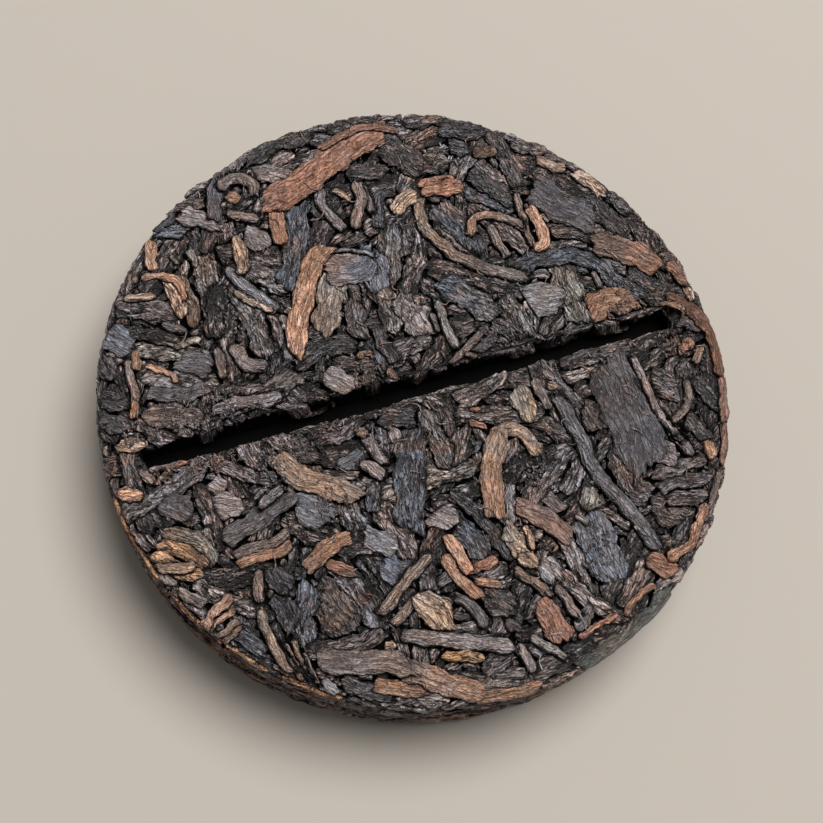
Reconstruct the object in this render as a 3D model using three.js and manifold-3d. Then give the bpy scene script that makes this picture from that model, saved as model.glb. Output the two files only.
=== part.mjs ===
// A small round cake of dark tea, pressed from whole leaves, with a straight breaking groove
// across its upper face. Millimetres, +Z up, the origin at the middle of the underside,
// the groove along X.

import * as THREE from "three";
import { mergeVertices } from "three/addons/utils/BufferGeometryUtils.js";
import Module from "manifold-3d";

// The pressed disc
const CAKE_RADIUS = 25;
const CAKE_THICKNESS = 8.5;
const EDGE_ROUNDING = 1.3;
const DISC_SIDES = 48;
const EDGE_STEPS = 3;

// The core lies this far inside the pressed skin, and the leaves stand out of it
const CORE_INSET = 0.55;

// The breaking groove: a tapered slot with round ends that stops short of the rim
const GROOVE_LENGTH = 45.8;
const GROOVE_DEPTH = 2.9;
const GROOVE_MOUTH_WIDTH = 2.1;
const GROOVE_FLOOR_WIDTH = 0.8;
const GROOVE_LIP = 0.3;
const GROOVE_END_SIDES = 16;

// A pressed leaf: a flattened roll of few sides, bent along its path
const LEAF_SIDES = 6;
const LARGE_LEAF_STEPS = 4;
const FILL_LEAF_STEPS = 2;
const LEAF_THICKNESS = 1.7;
const LEAF_TIP_WIDTH = 0.6;
const LEAF_DEEPEST_TOP = 0.3;
const LEAF_HIGHEST_TOP = 0.15;
const LEAF_TILT = 0.16;

// The smaller leaves: how many lie on the upper face, the wall and the underside, and their size
const TOP_FILL = 80;
const SIDE_FILL = 44;
const BASE_FILL = 38;
const FILL_LENGTH = 6.4;
const FILL_WIDTH = 2.7;
const CLEAR_OF_LARGE = 1.5;
const RANDOM_SEED = 11;

// Corners nearer than this are one, and facets flatter than this are joined
const SAME_CORNER = 0.001;
const FLAT_ENOUGH = 0.05;

// The large leaves were measured while the groove ran this many degrees off X
const MEASURED_TURN = 1.7;

// The largest leaves of the upper face, each with the places where it starts and ends,
// how far its middle bows to the left of that line, and its width
const LARGE_LEAVES = [
  { from: [-8.0, 18.3], to: [3.9, 22.8], bow: 0.5, width: 2.6 },
  { from: [-5.0, 17.6], to: [-7.9, 10.4], bow: 0.2, width: 1.9 },
  { from: [-3.7, 13.3], to: [-8.8, 5.0], bow: -0.5, width: 1.6 },
  { from: [-4.6, 11.6], to: [-0.5, 11.4], bow: 0.3, width: 3.0 },
  { from: [4.1, 15.0], to: [8.4, 8.2], bow: -0.8, width: 1.2 },
  { from: [1.6, 14.6], to: [0.6, 9.2], bow: 0.0, width: 2.0 },
  { from: [5.0, 16.4], to: [9.0, 16.0], bow: 0.0, width: 1.7 },
  { from: [5.6, 14.6], to: [7.8, 9.2], bow: 0.3, width: 2.6 },
  { from: [7.7, 11.6], to: [12.6, 11.2], bow: 1.3, width: 1.0 },
  { from: [8.4, 21.8], to: [12.4, 20.8], bow: 0.2, width: 2.2 },
  { from: [-0.8, 24.1], to: [3.3, 24.0], bow: 0.1, width: 1.6 },
  { from: [-8.4, 22.6], to: [-2.6, 23.4], bow: 0.5, width: 1.8 },
  { from: [12.4, 20.6], to: [13.0, 14.6], bow: -0.4, width: 1.5 },
  { from: [9.2, 17.2], to: [12.6, 13.4], bow: 0.2, width: 1.9 },
  { from: [14.0, 14.8], to: [18.2, 10.2], bow: 0.3, width: 3.0 },
  { from: [18.0, 15.2], to: [21.4, 10.6], bow: 0.4, width: 1.7 },
  { from: [14.4, 10.6], to: [21.8, 5.4], bow: 0.4, width: 2.6 },
  { from: [9.4, 7.6], to: [18.4, 4.8], bow: 1.5, width: 1.8 },
  { from: [10.4, 4.8], to: [13.2, 4.2], bow: 0.0, width: 2.9 },
  { from: [15.4, 4.2], to: [19.2, 2.0], bow: 0.0, width: 2.4 },
  { from: [19.6, 5.2], to: [23.8, 2.2], bow: 0.2, width: 2.0 },
  { from: [23.9, 1.2], to: [22.9, -7.6], bow: 0.5, width: 1.4 },
  { from: [15.2, -2.0], to: [15.0, -10.6], bow: 0.2, width: 4.2 },
  { from: [10.4, -3.6], to: [13.8, -17.4], bow: -0.7, width: 1.4 },
  { from: [18.0, -3.2], to: [18.8, -6.8], bow: 0.8, width: 2.6 },
  { from: [15.2, -12.0], to: [19.8, -12.6], bow: 0.2, width: 2.8 },
  { from: [9.2, -13.2], to: [9.6, -18.8], bow: 0.2, width: 2.8 },
  { from: [14.0, -18.4], to: [18.6, -14.8], bow: -0.6, width: 1.3 },
  { from: [5.4, -23.5], to: [12.8, -21.0], bow: -0.3, width: 1.9 },
  { from: [2.3, -11.8], to: [5.0, -4.9], bow: -0.3, width: 2.0 },
  { from: [4.1, -11.2], to: [7.5, -14.9], bow: 0.2, width: 1.7 },
  { from: [3.4, -19.0], to: [4.3, -21.9], bow: 0.0, width: 2.2 },
  { from: [-0.5, -11.2], to: [0.6, -15.0], bow: 0.0, width: 2.1 },
  { from: [-1.3, -3.4], to: [-4.0, -11.0], bow: 0.2, width: 2.5 },
  { from: [-0.2, -2.2], to: [0.4, -6.9], bow: 0.0, width: 1.9 },
  { from: [-2.4, -13.4], to: [0.0, -17.6], bow: -0.3, width: 1.3 },
  { from: [-7.2, -18.4], to: [0.6, -21.4], bow: -0.2, width: 1.4 },
  { from: [-13.4, -18.5], to: [-6.0, -21.6], bow: 0.5, width: 1.9 },
  { from: [-6.8, -21.2], to: [1.6, -24.7], bow: -0.7, width: 1.8 },
  { from: [-12.4, -13.0], to: [-13.8, -17.2], bow: -0.2, width: 1.9 },
  { from: [-12.6, -2.7], to: [-7.1, -7.7], bow: -0.3, width: 2.0 },
  { from: [-17.6, -8.1], to: [-12.0, -6.0], bow: -0.2, width: 1.8 },
  { from: [-17.4, -9.9], to: [-12.7, -9.3], bow: -0.2, width: 1.5 },
  { from: [-23.2, -7.6], to: [-19.4, -9.2], bow: 0.4, width: 2.5 },
  { from: [-16.4, 2.0], to: [-8.8, 3.2], bow: -0.4, width: 2.0 },
  { from: [-9.0, 4.6], to: [-3.6, 5.0], bow: -0.3, width: 1.8 },
  { from: [-20.4, 4.4], to: [-15.9, 3.8], bow: -0.5, width: 1.4 },
  { from: [-16.6, 13.8], to: [-15.8, 9.2], bow: 0.1, width: 2.2 },
  { from: [-12.4, 13.2], to: [-9.1, 8.8], bow: -0.2, width: 1.3 },
  { from: [-10.6, 22.3], to: [-12.0, 17.8], bow: -0.2, width: 1.8 },
  { from: [-22.4, 10.2], to: [-20.8, 8.2], bow: 0.0, width: 2.3 },
  { from: [4.0, 8.2], to: [8.0, 4.4], bow: 0.3, width: 2.4 },
  { from: [0.0, 7.4], to: [1.8, 4.2], bow: 0.0, width: 2.8 },
];

// The broad leaf in the middle of the underside, pressed flat, that the cake stands on
const STANDING_LEAF = { from: [-4.5, 0.6], to: [4.5, -0.6], bow: 0, width: 5.2, top: 0.2, tilt: 0 };

// The same numbers come out on every run
function seededRandom(seed) {
  let state = seed;
  return () => {
    state = (state + 0x6d2b79f5) | 0;
    let mixed = Math.imul(state ^ (state >>> 15), 1 | state);
    mixed = (mixed + Math.imul(mixed ^ (mixed >>> 7), 61 | mixed)) ^ mixed;
    return ((mixed ^ (mixed >>> 14)) >>> 0) / 4294967296;
  };
}

const random = seededRandom(RANDOM_SEED);
const between = (low, high) => low + (high - low) * random();

// How far from the middle, measured along the skin, the flat face, the round edge and the wall end
const FLAT_REACH = CAKE_RADIUS - EDGE_ROUNDING;
const EDGE_REACH = FLAT_REACH + (EDGE_ROUNDING * Math.PI) / 2;
const WALL_REACH = EDGE_REACH + CAKE_THICKNESS - 2 * EDGE_ROUNDING;

// Lays a flat place (x, y) onto the pressed skin, over the edge and down the wall,
// and lifts it off the skin by `lift`
function onSkin(x, y, lift) {
  const reach = Math.hypot(x, y);
  const point = new THREE.Vector3(x, y, CAKE_THICKNESS + lift);
  if (reach > FLAT_REACH) {
    const turn = Math.min((reach - FLAT_REACH) / EDGE_ROUNDING, Math.PI / 2);
    const radial = FLAT_REACH + (EDGE_ROUNDING + lift) * Math.sin(turn);
    const down = Math.max(reach - EDGE_REACH, 0);
    const height = CAKE_THICKNESS - EDGE_ROUNDING - down + (EDGE_ROUNDING + lift) * Math.cos(turn);
    point.set((x / reach) * radial, (y / reach) * radial, height);
  }
  return point;
}

// Turns a place on the upper half over, for the leaves of the underside
function turnedOver(point) {
  return new THREE.Vector3(point.x, -point.y, CAKE_THICKNESS - point.z);
}

// One leaf: a cylinder of few sides laid along its path, flattened, narrowed to its tips and tilted
function leafGeometry(leaf) {
  const geometry = new THREE.CylinderGeometry(1, 1, 1, LEAF_SIDES, leaf.steps);
  const start = new THREE.Vector2(...leaf.from);
  const end = new THREE.Vector2(...leaf.to);
  const left = new THREE.Vector2(start.y - end.y, end.x - start.x).normalize();
  const middle = start.clone().add(end).multiplyScalar(0.5).addScaledVector(left, 2 * leaf.bow);
  const path = new THREE.QuadraticBezierCurve(start, middle, end);
  const places = geometry.attributes.position;
  for (let i = 0; i < places.count; i += 1) {
    const along = Math.min(Math.max(places.getY(i) + 0.5, 0), 1);
    const across = -places.getX(i);
    const depth = places.getZ(i);
    const narrowing = 1 - (1 - LEAF_TIP_WIDTH) * Math.abs(2 * along - 1) ** 3;
    const aside = (across * narrowing * leaf.width) / 2;
    const tangent = path.getTangent(along);
    const spot = path.getPoint(along);
    spot.x -= tangent.y * aside;
    spot.y += tangent.x * aside;
    const lift = leaf.top - LEAF_THICKNESS / 2 + (depth * LEAF_THICKNESS) / 2 + leaf.tilt * aside;
    const point = onSkin(spot.x, spot.y, lift);
    const placed = leaf.below ? turnedOver(point) : point;
    places.setXYZ(i, placed.x, placed.y, placed.z);
  }
  return geometry;
}

// How high a leaf's back lies under the skin, and how it leans
function settled(leaf) {
  return {
    ...leaf,
    top: between(-LEAF_DEEPEST_TOP, LEAF_HIGHEST_TOP),
    tilt: between(-LEAF_TILT, LEAF_TILT),
  };
}

// Turns a measured leaf back with the groove, onto X
function turnedBack(leaf) {
  const turn = (-MEASURED_TURN * Math.PI) / 180;
  const middle = new THREE.Vector2(0, 0);
  const turned = (place) => new THREE.Vector2(...place).rotateAround(middle, turn).toArray();
  return { ...leaf, from: turned(leaf.from), to: turned(leaf.to) };
}

const largeLeaves = LARGE_LEAVES.map(turnedBack);

// How near a place lies to the straight line of a leaf
function distanceToLeaf(x, y, leaf) {
  const line = new THREE.Line3(new THREE.Vector3(...leaf.from, 0), new THREE.Vector3(...leaf.to, 0));
  const place = new THREE.Vector3(x, y, 0);
  return line.closestPointToPoint(place, true, new THREE.Vector3()).distanceTo(place);
}

// Leaves spread evenly over a ring of the skin, turned this way and that,
// but lying along the rim where they are near it or on the wall
function spreadLeaves(count, innerReach, outerReach, below) {
  const goldenAngle = Math.PI * (3 - Math.sqrt(5));
  const leaves = [];
  for (let i = 0; i < count; i += 1) {
    const share = (i + 0.5) / count;
    const reach = Math.sqrt(innerReach ** 2 + share * (outerReach ** 2 - innerReach ** 2));
    const angle = i * goldenAngle;
    const x = reach * Math.cos(angle);
    const y = reach * Math.sin(angle);
    const free = between(0, Math.PI);
    const alongRim = angle + Math.PI / 2 + between(-0.35, 0.35);
    const heading = reach > FLAT_REACH - 1 ? alongRim : free;
    const half = (FILL_LENGTH * between(0.7, 1.3)) / 2;
    const leaf = settled({
      from: [x - half * Math.cos(heading), y - half * Math.sin(heading)],
      to: [x + half * Math.cos(heading), y + half * Math.sin(heading)],
      bow: between(-0.6, 0.6),
      width: FILL_WIDTH * between(0.7, 1.35),
      steps: FILL_LEAF_STEPS,
      below,
    });
    leaves.push(leaf);
  }
  return leaves;
}

// Which leaves of the upper face show between the large ones
function showsBetween(leaf) {
  const x = (leaf.from[0] + leaf.to[0]) / 2;
  const y = (leaf.from[1] + leaf.to[1]) / 2;
  const onLarge = largeLeaves.some((large) => distanceToLeaf(x, y, large) < CLEAR_OF_LARGE);
  const inGroove = Math.abs(y) < GROOVE_MOUTH_WIDTH / 2 && Math.abs(x) < GROOVE_LENGTH / 2;
  return !onLarge && !inGroove;
}

// The outline of the disc at `inset` under the skin, as a profile that starts and ends on the axis
function discProfile(inset) {
  const rounding = EDGE_ROUNDING - inset / 2;
  const radius = CAKE_RADIUS - inset;
  const profile = [new THREE.Vector2(0, inset)];
  for (const [height, start] of [[inset + rounding, -Math.PI / 2], [CAKE_THICKNESS - inset - rounding, 0]]) {
    for (let step = 0; step <= EDGE_STEPS; step += 1) {
      const turn = start + (step / EDGE_STEPS) * (Math.PI / 2);
      const out = radius - rounding + rounding * Math.cos(turn);
      profile.push(new THREE.Vector2(out, height + rounding * Math.sin(turn)));
    }
  }
  profile.push(new THREE.Vector2(0, CAKE_THICKNESS - inset));
  return profile;
}

// A lathe stands along Y, so it is turned to stand along Z
function standing(profile, sides) {
  return new THREE.LatheGeometry(profile, sides).rotateX(Math.PI / 2);
}

// The blade that pressed the groove: a tapered peg, drawn out along X
function grooveGeometry() {
  const floor = CAKE_THICKNESS - GROOVE_DEPTH;
  const halfMouth = GROOVE_MOUTH_WIDTH / 2;
  const profile = [
    new THREE.Vector2(0, floor),
    new THREE.Vector2(GROOVE_FLOOR_WIDTH / 2, floor),
    new THREE.Vector2(halfMouth, CAKE_THICKNESS - GROOVE_LIP * 2),
    new THREE.Vector2(halfMouth + GROOVE_LIP, CAKE_THICKNESS),
    new THREE.Vector2(halfMouth + GROOVE_LIP, CAKE_THICKNESS + 1),
    new THREE.Vector2(0, CAKE_THICKNESS + 1),
  ];
  const geometry = standing(profile, GROOVE_END_SIDES);
  const places = geometry.attributes.position;
  const draw = GROOVE_LENGTH / 2 - halfMouth;
  for (let i = 0; i < places.count; i += 1) {
    const x = places.getX(i);
    const side = Math.abs(x) < 1e-6 ? 0 : Math.sign(x);
    places.setX(i, x + side * draw);
  }
  return geometry;
}

// Booleans work on closed meshes that share their corners
const wasm = await Module();
wasm.setup();

function solid(geometry) {
  geometry.deleteAttribute("normal");
  geometry.deleteAttribute("uv");
  const closed = mergeVertices(geometry, SAME_CORNER);
  return new wasm.Manifold(
    new wasm.Mesh({
      numProp: 3,
      vertProperties: new Float32Array(closed.attributes.position.array),
      triVerts: new Uint32Array(closed.index.array),
    }),
  );
}

function geometryOf(joined) {
  const mesh = joined.getMesh();
  const geometry = new THREE.BufferGeometry();
  geometry.setAttribute("position", new THREE.BufferAttribute(mesh.vertProperties, 3));
  geometry.setIndex(new THREE.BufferAttribute(mesh.triVerts, 1));
  geometry.computeVertexNormals();
  return geometry;
}

// The largest closed skin of a solid: sealed hollows are filled and loose scraps dropped
function wholePiece(joined) {
  const pieces = solid(geometryOf(joined)).decompose();
  return pieces.reduce((largest, piece) => (piece.volume() > largest.volume() ? piece : largest));
}

function cakeGeometry() {
  const leaves = [
    ...largeLeaves.map((leaf) => settled({ ...leaf, steps: LARGE_LEAF_STEPS, below: false })),
    ...spreadLeaves(TOP_FILL, 0, FLAT_REACH, false).filter(showsBetween),
    ...spreadLeaves(SIDE_FILL, EDGE_REACH - 0.5, WALL_REACH, false),
    ...spreadLeaves(BASE_FILL, 0, FLAT_REACH, true),
    { ...STANDING_LEAF, steps: FILL_LEAF_STEPS, below: true },
  ];
  const core = solid(standing(discProfile(CORE_INSET), DISC_SIDES));
  const mould = solid(standing(discProfile(0), DISC_SIDES));
  const groove = solid(grooveGeometry());
  const covered = wasm.Manifold.union([core, ...leaves.map((leaf) => solid(leafGeometry(leaf)))]);
  const pressed = covered.intersect(mould).subtract(groove);
  return geometryOf(wholePiece(pressed.simplify(FLAT_ENOUGH)));
}

const pressedLeaf = new THREE.MeshStandardMaterial({
  name: "pressed_leaf",
  color: new THREE.Color(0.16, 0.125, 0.11),
  roughness: 0.62,
  metalness: 0,
});

const teaCake = new THREE.Mesh(cakeGeometry(), pressedLeaf);
teaCake.name = "tea_cake";

const group = new THREE.Group();
group.add(teaCake);

export default group;
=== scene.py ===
import math
import bmesh
import bpy
import numpy as np
from mathutils import Matrix, Vector


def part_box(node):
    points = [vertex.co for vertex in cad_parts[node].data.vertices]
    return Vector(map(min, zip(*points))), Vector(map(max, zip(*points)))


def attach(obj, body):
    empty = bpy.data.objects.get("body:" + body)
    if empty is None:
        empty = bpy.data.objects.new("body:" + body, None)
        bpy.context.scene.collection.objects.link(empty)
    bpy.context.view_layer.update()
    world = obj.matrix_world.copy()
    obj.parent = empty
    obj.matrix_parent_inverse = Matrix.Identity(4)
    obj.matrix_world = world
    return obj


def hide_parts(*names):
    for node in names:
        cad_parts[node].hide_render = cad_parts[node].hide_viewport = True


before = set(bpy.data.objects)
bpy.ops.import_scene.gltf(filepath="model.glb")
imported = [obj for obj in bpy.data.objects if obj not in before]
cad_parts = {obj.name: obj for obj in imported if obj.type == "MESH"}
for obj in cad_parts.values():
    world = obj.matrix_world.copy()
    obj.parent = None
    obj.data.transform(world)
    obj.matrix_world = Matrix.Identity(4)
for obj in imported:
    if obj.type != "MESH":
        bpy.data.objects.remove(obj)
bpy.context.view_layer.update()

# The pressed core.
# The inner mass of the cake: dust and buried leaf, pressed into a disc by a round mould,
# with a slot across the top for the breaking groove. It shows only as black in the gaps:
# its near-black colour is painted shade.
MM = 0.001
low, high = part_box("tea_cake")
CAKE_RADIUS = max(high[0], high[1], -low[0], -low[1]) / MM
CAKE_THICKNESS = (high[2] - low[2]) / MM
CORE_INSET = 0.8
CORE_EDGE = 0.5
CORE_SIDES = 160
GROOVE_HALF_LENGTH = 22.9
GROOVE_HALF_WIDTH = 1.1
GROOVE_DEPTH = 2.9
SLOT_HALF_MOUTH = 1.2
SLOT_HALF_FLOOR = 0.9
SLOT_SIDES = 32
SLOT_OVERSHOOT = 1
TINY = 1e-6


def finished_mesh(bm, name):
    """The bmesh was drawn in millimetres, and Blender wants metres."""
    bmesh.ops.scale(bm, vec=(MM, MM, MM), verts=bm.verts)
    bmesh.ops.recalc_face_normals(bm, faces=bm.faces)
    mesh = bpy.data.meshes.new(name)
    bm.to_mesh(mesh)
    bm.free()
    return mesh


def placed(mesh, name):
    piece = bpy.data.objects.new(name, mesh)
    bpy.context.collection.objects.link(piece)
    return piece


def core_mesh():
    bm = bmesh.new()
    radius = CAKE_RADIUS - CORE_INSET
    low_edge = CORE_INSET + CORE_EDGE
    high_edge = CAKE_THICKNESS - low_edge
    profile = [(0, CORE_INSET), (radius - CORE_EDGE, CORE_INSET), (radius, low_edge)]
    profile += [(radius, high_edge), (radius - CORE_EDGE, CAKE_THICKNESS - CORE_INSET)]
    profile += [(0, CAKE_THICKNESS - CORE_INSET)]
    corners = [bm.verts.new((out, 0, up)) for out, up in profile]
    edges = [bm.edges.new(pair) for pair in zip(corners, corners[1:])]
    bmesh.ops.spin(bm, geom=corners + edges, axis=(0, 0, 1), cent=(0, 0, 0),
                   angle=2 * math.pi, steps=CORE_SIDES, use_merge=True)
    bmesh.ops.remove_doubles(bm, verts=bm.verts, dist=0.001)
    return finished_mesh(bm, "pressed_core")


def slot_mesh():
    """A tapered peg drawn out along X, as long as the groove."""
    bm = bmesh.new()
    widening = (SLOT_HALF_MOUTH - SLOT_HALF_FLOOR) / (GROOVE_DEPTH - CORE_INSET)
    reach = GROOVE_DEPTH + SLOT_OVERSHOOT
    bmesh.ops.create_cone(bm, cap_ends=True, segments=SLOT_SIDES, radius1=SLOT_HALF_FLOOR,
                          radius2=SLOT_HALF_FLOOR + widening * reach, depth=reach)
    draw = GROOVE_HALF_LENGTH - GROOVE_HALF_WIDTH
    for corner in bm.verts:
        side = 0 if abs(corner.co.x) < TINY else math.copysign(1, corner.co.x)
        corner.co.x += side * draw
    lift = CAKE_THICKNESS - GROOVE_DEPTH + reach / 2
    bmesh.ops.translate(bm, vec=(0, 0, lift), verts=bm.verts)
    return finished_mesh(bm, "groove_slot")


def cut_with(piece, tool):
    """Cuts the tool out of the piece for good, and takes the tool away."""
    cut = piece.modifiers.new("cut", "BOOLEAN")
    cut.operation = "DIFFERENCE"
    cut.solver = "EXACT"
    cut.object = tool
    finished = piece.evaluated_get(bpy.context.evaluated_depsgraph_get())
    whole = bpy.data.meshes.new_from_object(finished)
    piece.modifiers.clear()
    piece.data = whole
    bpy.data.objects.remove(tool)


def core_material():
    material = bpy.data.materials.new("packed_dust_painted_shade")
    material.use_nodes = True
    nodes, links = material.node_tree.nodes, material.node_tree.links
    shader = nodes["Principled BSDF"]
    place = nodes.new("ShaderNodeTexCoord")
    crumbs = nodes.new("ShaderNodeTexNoise")
    crumbs.inputs["Scale"].default_value = 2600
    crumbs.inputs["Detail"].default_value = 4
    painted_shade_ramp = nodes.new("ShaderNodeValToRGB")
    # Painted shade: the dust is coloured almost black, far darker than leaf dust, so the gaps and the
    # groove read as deep shade.
    painted_shade_ramp.color_ramp.elements[0].color = (0.0001, 0.0001, 0.0001, 1)
    painted_shade_ramp.color_ramp.elements[1].color = (0.001, 0.0008, 0.0007, 1)
    bump = nodes.new("ShaderNodeBump")
    bump.inputs["Distance"].default_value = 0.0002
    links.new(place.outputs["Object"], crumbs.inputs["Vector"])
    links.new(crumbs.outputs["Fac"], painted_shade_ramp.inputs["Fac"])
    links.new(painted_shade_ramp.outputs["Color"], shader.inputs["Base Color"])
    links.new(crumbs.outputs["Fac"], bump.inputs["Height"])
    links.new(bump.outputs["Normal"], shader.inputs["Normal"])
    shader.inputs["Roughness"].default_value = 0.95
    shader.inputs["Specular IOR Level"].default_value = 0.05
    return material


core = placed(core_mesh(), "pressed_core")
cut_with(core, placed(slot_mesh(), "groove_slot"))
core.data.materials.append(core_material())
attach(core, "root")
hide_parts("tea_cake")

# The red leaves.
# Older, coarser leaves and split stalks that dried red-brown to salmon. Each leaf is a closed
# roll laid into the mould, flattened against it, and tucked under the leaves laid before it.
EDGE_ROUNDING = 1.1
FLAT_REACH = CAKE_RADIUS - EDGE_ROUNDING
EDGE_REACH = FLAT_REACH + EDGE_ROUNDING * math.pi / 2
WALL_REACH = EDGE_REACH + CAKE_THICKNESS - 2 * EDGE_ROUNDING
SKIN_REACH = WALL_REACH + 1.8
LIP_START = 1.2
LIP_ROUNDING = 0.6
LIP_DRAG = 4.5
GROOVE_WALL_SLOPE = math.radians(80)
MEASURED_TURN = math.radians(1.7)
MEASURED_TILT = 0.06
CELL = 0.1
TUCK_SLOPE = 2.6
TUCK_FLAT = 0.08
TUCK_CELLS = 4
TUCK_GAP = 0.03
PATH_STEPS = 64
CURVE_STEPS = 24
SIDE_STEPS = 17
MOST_RAGGED = 0.26
LONGEST_TIP = 0.48
# Waves are counted per millimetre of leaf, and plain sizes are millimetres.
WANDER_WAVES = 0.16
EDGE_WAVES = 0.35
FOLD_SHIFT = 0.3
FOLD_WAVES = 0.22
FOLD_SHARPNESS = 0.55
SWAY = 0.07
SWAY_WAVES = 0.25
TEAR = 0.16
TEAR_WAVES = 0.9
PLATE_LEVEL = 0.8
END_SHARPNESS = 14
VALLEY_SHADE = 0.4
LATTICE_SIZE = 64
PRESS_STEP = 0.07
MOST_AROUND = 16
FEWEST_ALONG = 7
MOST_ALONG = 90
LONG_FACES = 1.6
RELIEF_DEPTH = 0.5
FADED_TINT = 0.87
FRESH_TINT = 1.15
GRAIN_SHIFT = 50
CORE_TOP = -0.74
PRESSED_NEAREST = 0.03
LOOSE_NEAREST = 1.05
RUST = (0.187, 0.0963, 0.0662)
PINK_RUST = (0.139, 0.0894, 0.0758)
ORANGE = (0.196, 0.11, 0.072)
SALMON = (0.298, 0.169, 0.114)
TAN = (0.17, 0.118, 0.089)
PINK_BROWN = (0.13, 0.0989, 0.0869)
BROWN_RIDGE = (0.086, 0.0568, 0.043)
RIM_BAND = (0.101, 0.048, 0.03)
RIM_RED = (0.129, 0.0691, 0.0494)
RUST_FLECK = (0.19, 0.098, 0.058)
# Grey of the leaf bloom, which also serves as painted sheen.
BLOOM_AND_SHEEN_GREY = (0.25, 0.247, 0.265)
WARM_REGION = (1.09, 1.0, 0.92)
COOL_REGION = (0.91, 1.0, 1.11)
SHADE_GAIN = 2.6
SHOULDER = 1.1
SHADE_CUT = 0.09
DARKEST = 0.015
random = np.random.default_rng(7)


def over_the_lip(x, y, lift):
    """Bends the upper face down into the groove, along a rounded lip and a steep wall."""
    end = GROOVE_HALF_LENGTH - GROOVE_HALF_WIDTH
    near = np.clip(x, -end, end)
    apart = np.maximum(np.hypot(x - near, y), TINY)
    past = np.maximum(LIP_START - apart, 0)
    bend = np.minimum(past / LIP_ROUNDING, GROOVE_WALL_SLOPE)
    wall = LIP_DRAG * np.maximum(past - LIP_ROUNDING * GROOVE_WALL_SLOPE, 0)
    inward = LIP_ROUNDING * np.sin(bend) + wall * math.cos(GROOVE_WALL_SLOPE)
    drop = LIP_ROUNDING * (1 - np.cos(bend)) + wall * math.sin(GROOVE_WALL_SLOPE)
    out = np.where(past > 0, LIP_START - inward - lift * np.sin(bend), apart)
    height = CAKE_THICKNESS - drop + lift * np.cos(bend)
    return near + (x - near) / apart * out, y / apart * out, height


def on_top(x, y, lift):
    """Lays flat places onto the upper face, over its edge, down the wall and under its foot."""
    reach = np.maximum(np.hypot(x, y), TINY)
    turn = np.clip((reach - FLAT_REACH) / EDGE_ROUNDING, 0, math.pi / 2)
    foot = np.clip((reach - WALL_REACH) / EDGE_ROUNDING, 0, math.pi / 2)
    down = np.clip(reach, EDGE_REACH, WALL_REACH) - EDGE_REACH
    skin = EDGE_ROUNDING + lift
    radial = FLAT_REACH + skin * np.sin(turn) * np.cos(foot)
    height = CAKE_THICKNESS - EDGE_ROUNDING - down + skin * (np.cos(turn) - np.sin(foot))
    flat_x, flat_y, flat_height = over_the_lip(x, y, lift)
    inner = reach <= FLAT_REACH
    return (np.where(inner, flat_x, x / reach * radial),
            np.where(inner, flat_y, y / reach * radial),
            np.where(inner, flat_height, height))


class Skin:
    """One face of the mould: how low the leaves laid so far reach, and where they show."""

    def __init__(self, half, mapping):
        self.half = half
        self.mapping = mapping
        cells = int(2 * half / CELL) + 1
        self.ceiling = np.zeros((cells, cells), dtype=np.float32)
        self.covered = np.zeros((cells, cells), dtype=bool)
        self.surface = np.full((cells, cells), CORE_TOP, dtype=np.float32)
        rows, columns = np.indices(self.ceiling.shape)
        self.reach = np.hypot(columns * CELL - half, rows * CELL - half)

    def cells(self, x, y):
        last = self.ceiling.shape[0] - 1
        column = np.clip(((x + self.half) / CELL).round().astype(int), 0, last)
        row = np.clip(((y + self.half) / CELL).round().astype(int), 0, last)
        return row, column

    def shown(self, x, y):
        """The share of these places that no leaf covers yet."""
        return np.mean(~self.covered[self.cells(x, y)])

    def tucked(self, x, y):
        """The height under which a leaf at these places lies, sloping down to what covers it."""
        row, column = self.cells(x, y)
        pad = TUCK_CELLS + 1
        top, left = max(row.min() - pad, 0), max(column.min() - pad, 0)
        window = self.ceiling[top:row.max() + pad + 1, left:column.max() + pad + 1]
        lowered = window.copy()
        for up in range(-TUCK_CELLS, TUCK_CELLS + 1):
            for aside in range(-TUCK_CELLS, TUCK_CELLS + 1):
                apart = math.hypot(up, aside)
                if 0 < apart <= TUCK_CELLS:
                    rise = TUCK_SLOPE * max(apart * CELL - TUCK_FLAT, 0)
                    np.minimum(lowered, np.roll(window, (up, aside), axis=(0, 1)) + rise, out=lowered)
        return lowered[row - top, column - left]

    def resting(self, x, y):
        """The height on which a loose crumb or fibre comes to rest."""
        return self.rest[self.cells(x, y)]

    def settle(self):
        shifts = [(up, aside) for up in (-1, 0, 1) for aside in (-1, 0, 1)]
        highest = np.max([np.roll(self.surface, shift, axis=(0, 1)) for shift in shifts], axis=0)
        self.rest = np.mean([np.roll(highest, shift, axis=(0, 1)) for shift in shifts], axis=0)


def smooth_path(points):
    """A curve through a few places, in even steps, and its length."""
    points = np.array(points, dtype=float)
    if len(points) == 2:
        points = np.array([points[0], points.mean(axis=0), points[1]])
    ends = np.vstack([2 * points[0] - points[1], points, 2 * points[-1] - points[-2]])
    share = np.linspace(0, 1, CURVE_STEPS, endpoint=False)[:, None]
    fine = []
    for before, start, finish, after in zip(ends, ends[1:], ends[2:], ends[3:]):
        fine.append(0.5 * (2 * start + (finish - before) * share
                           + (2 * before - 5 * start + 4 * finish - after) * share ** 2
                           + (3 * start - before - 3 * finish + after) * share ** 3))
    fine = np.vstack(fine + [points[-1:]])
    run = np.concatenate([[0], np.cumsum(np.hypot(*np.diff(fine, axis=0).T))])
    even = np.linspace(0, run[-1], PATH_STEPS + 1)
    places = np.column_stack([np.interp(even, run, fine[:, 0]), np.interp(even, run, fine[:, 1])])
    return places, run[-1]


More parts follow.
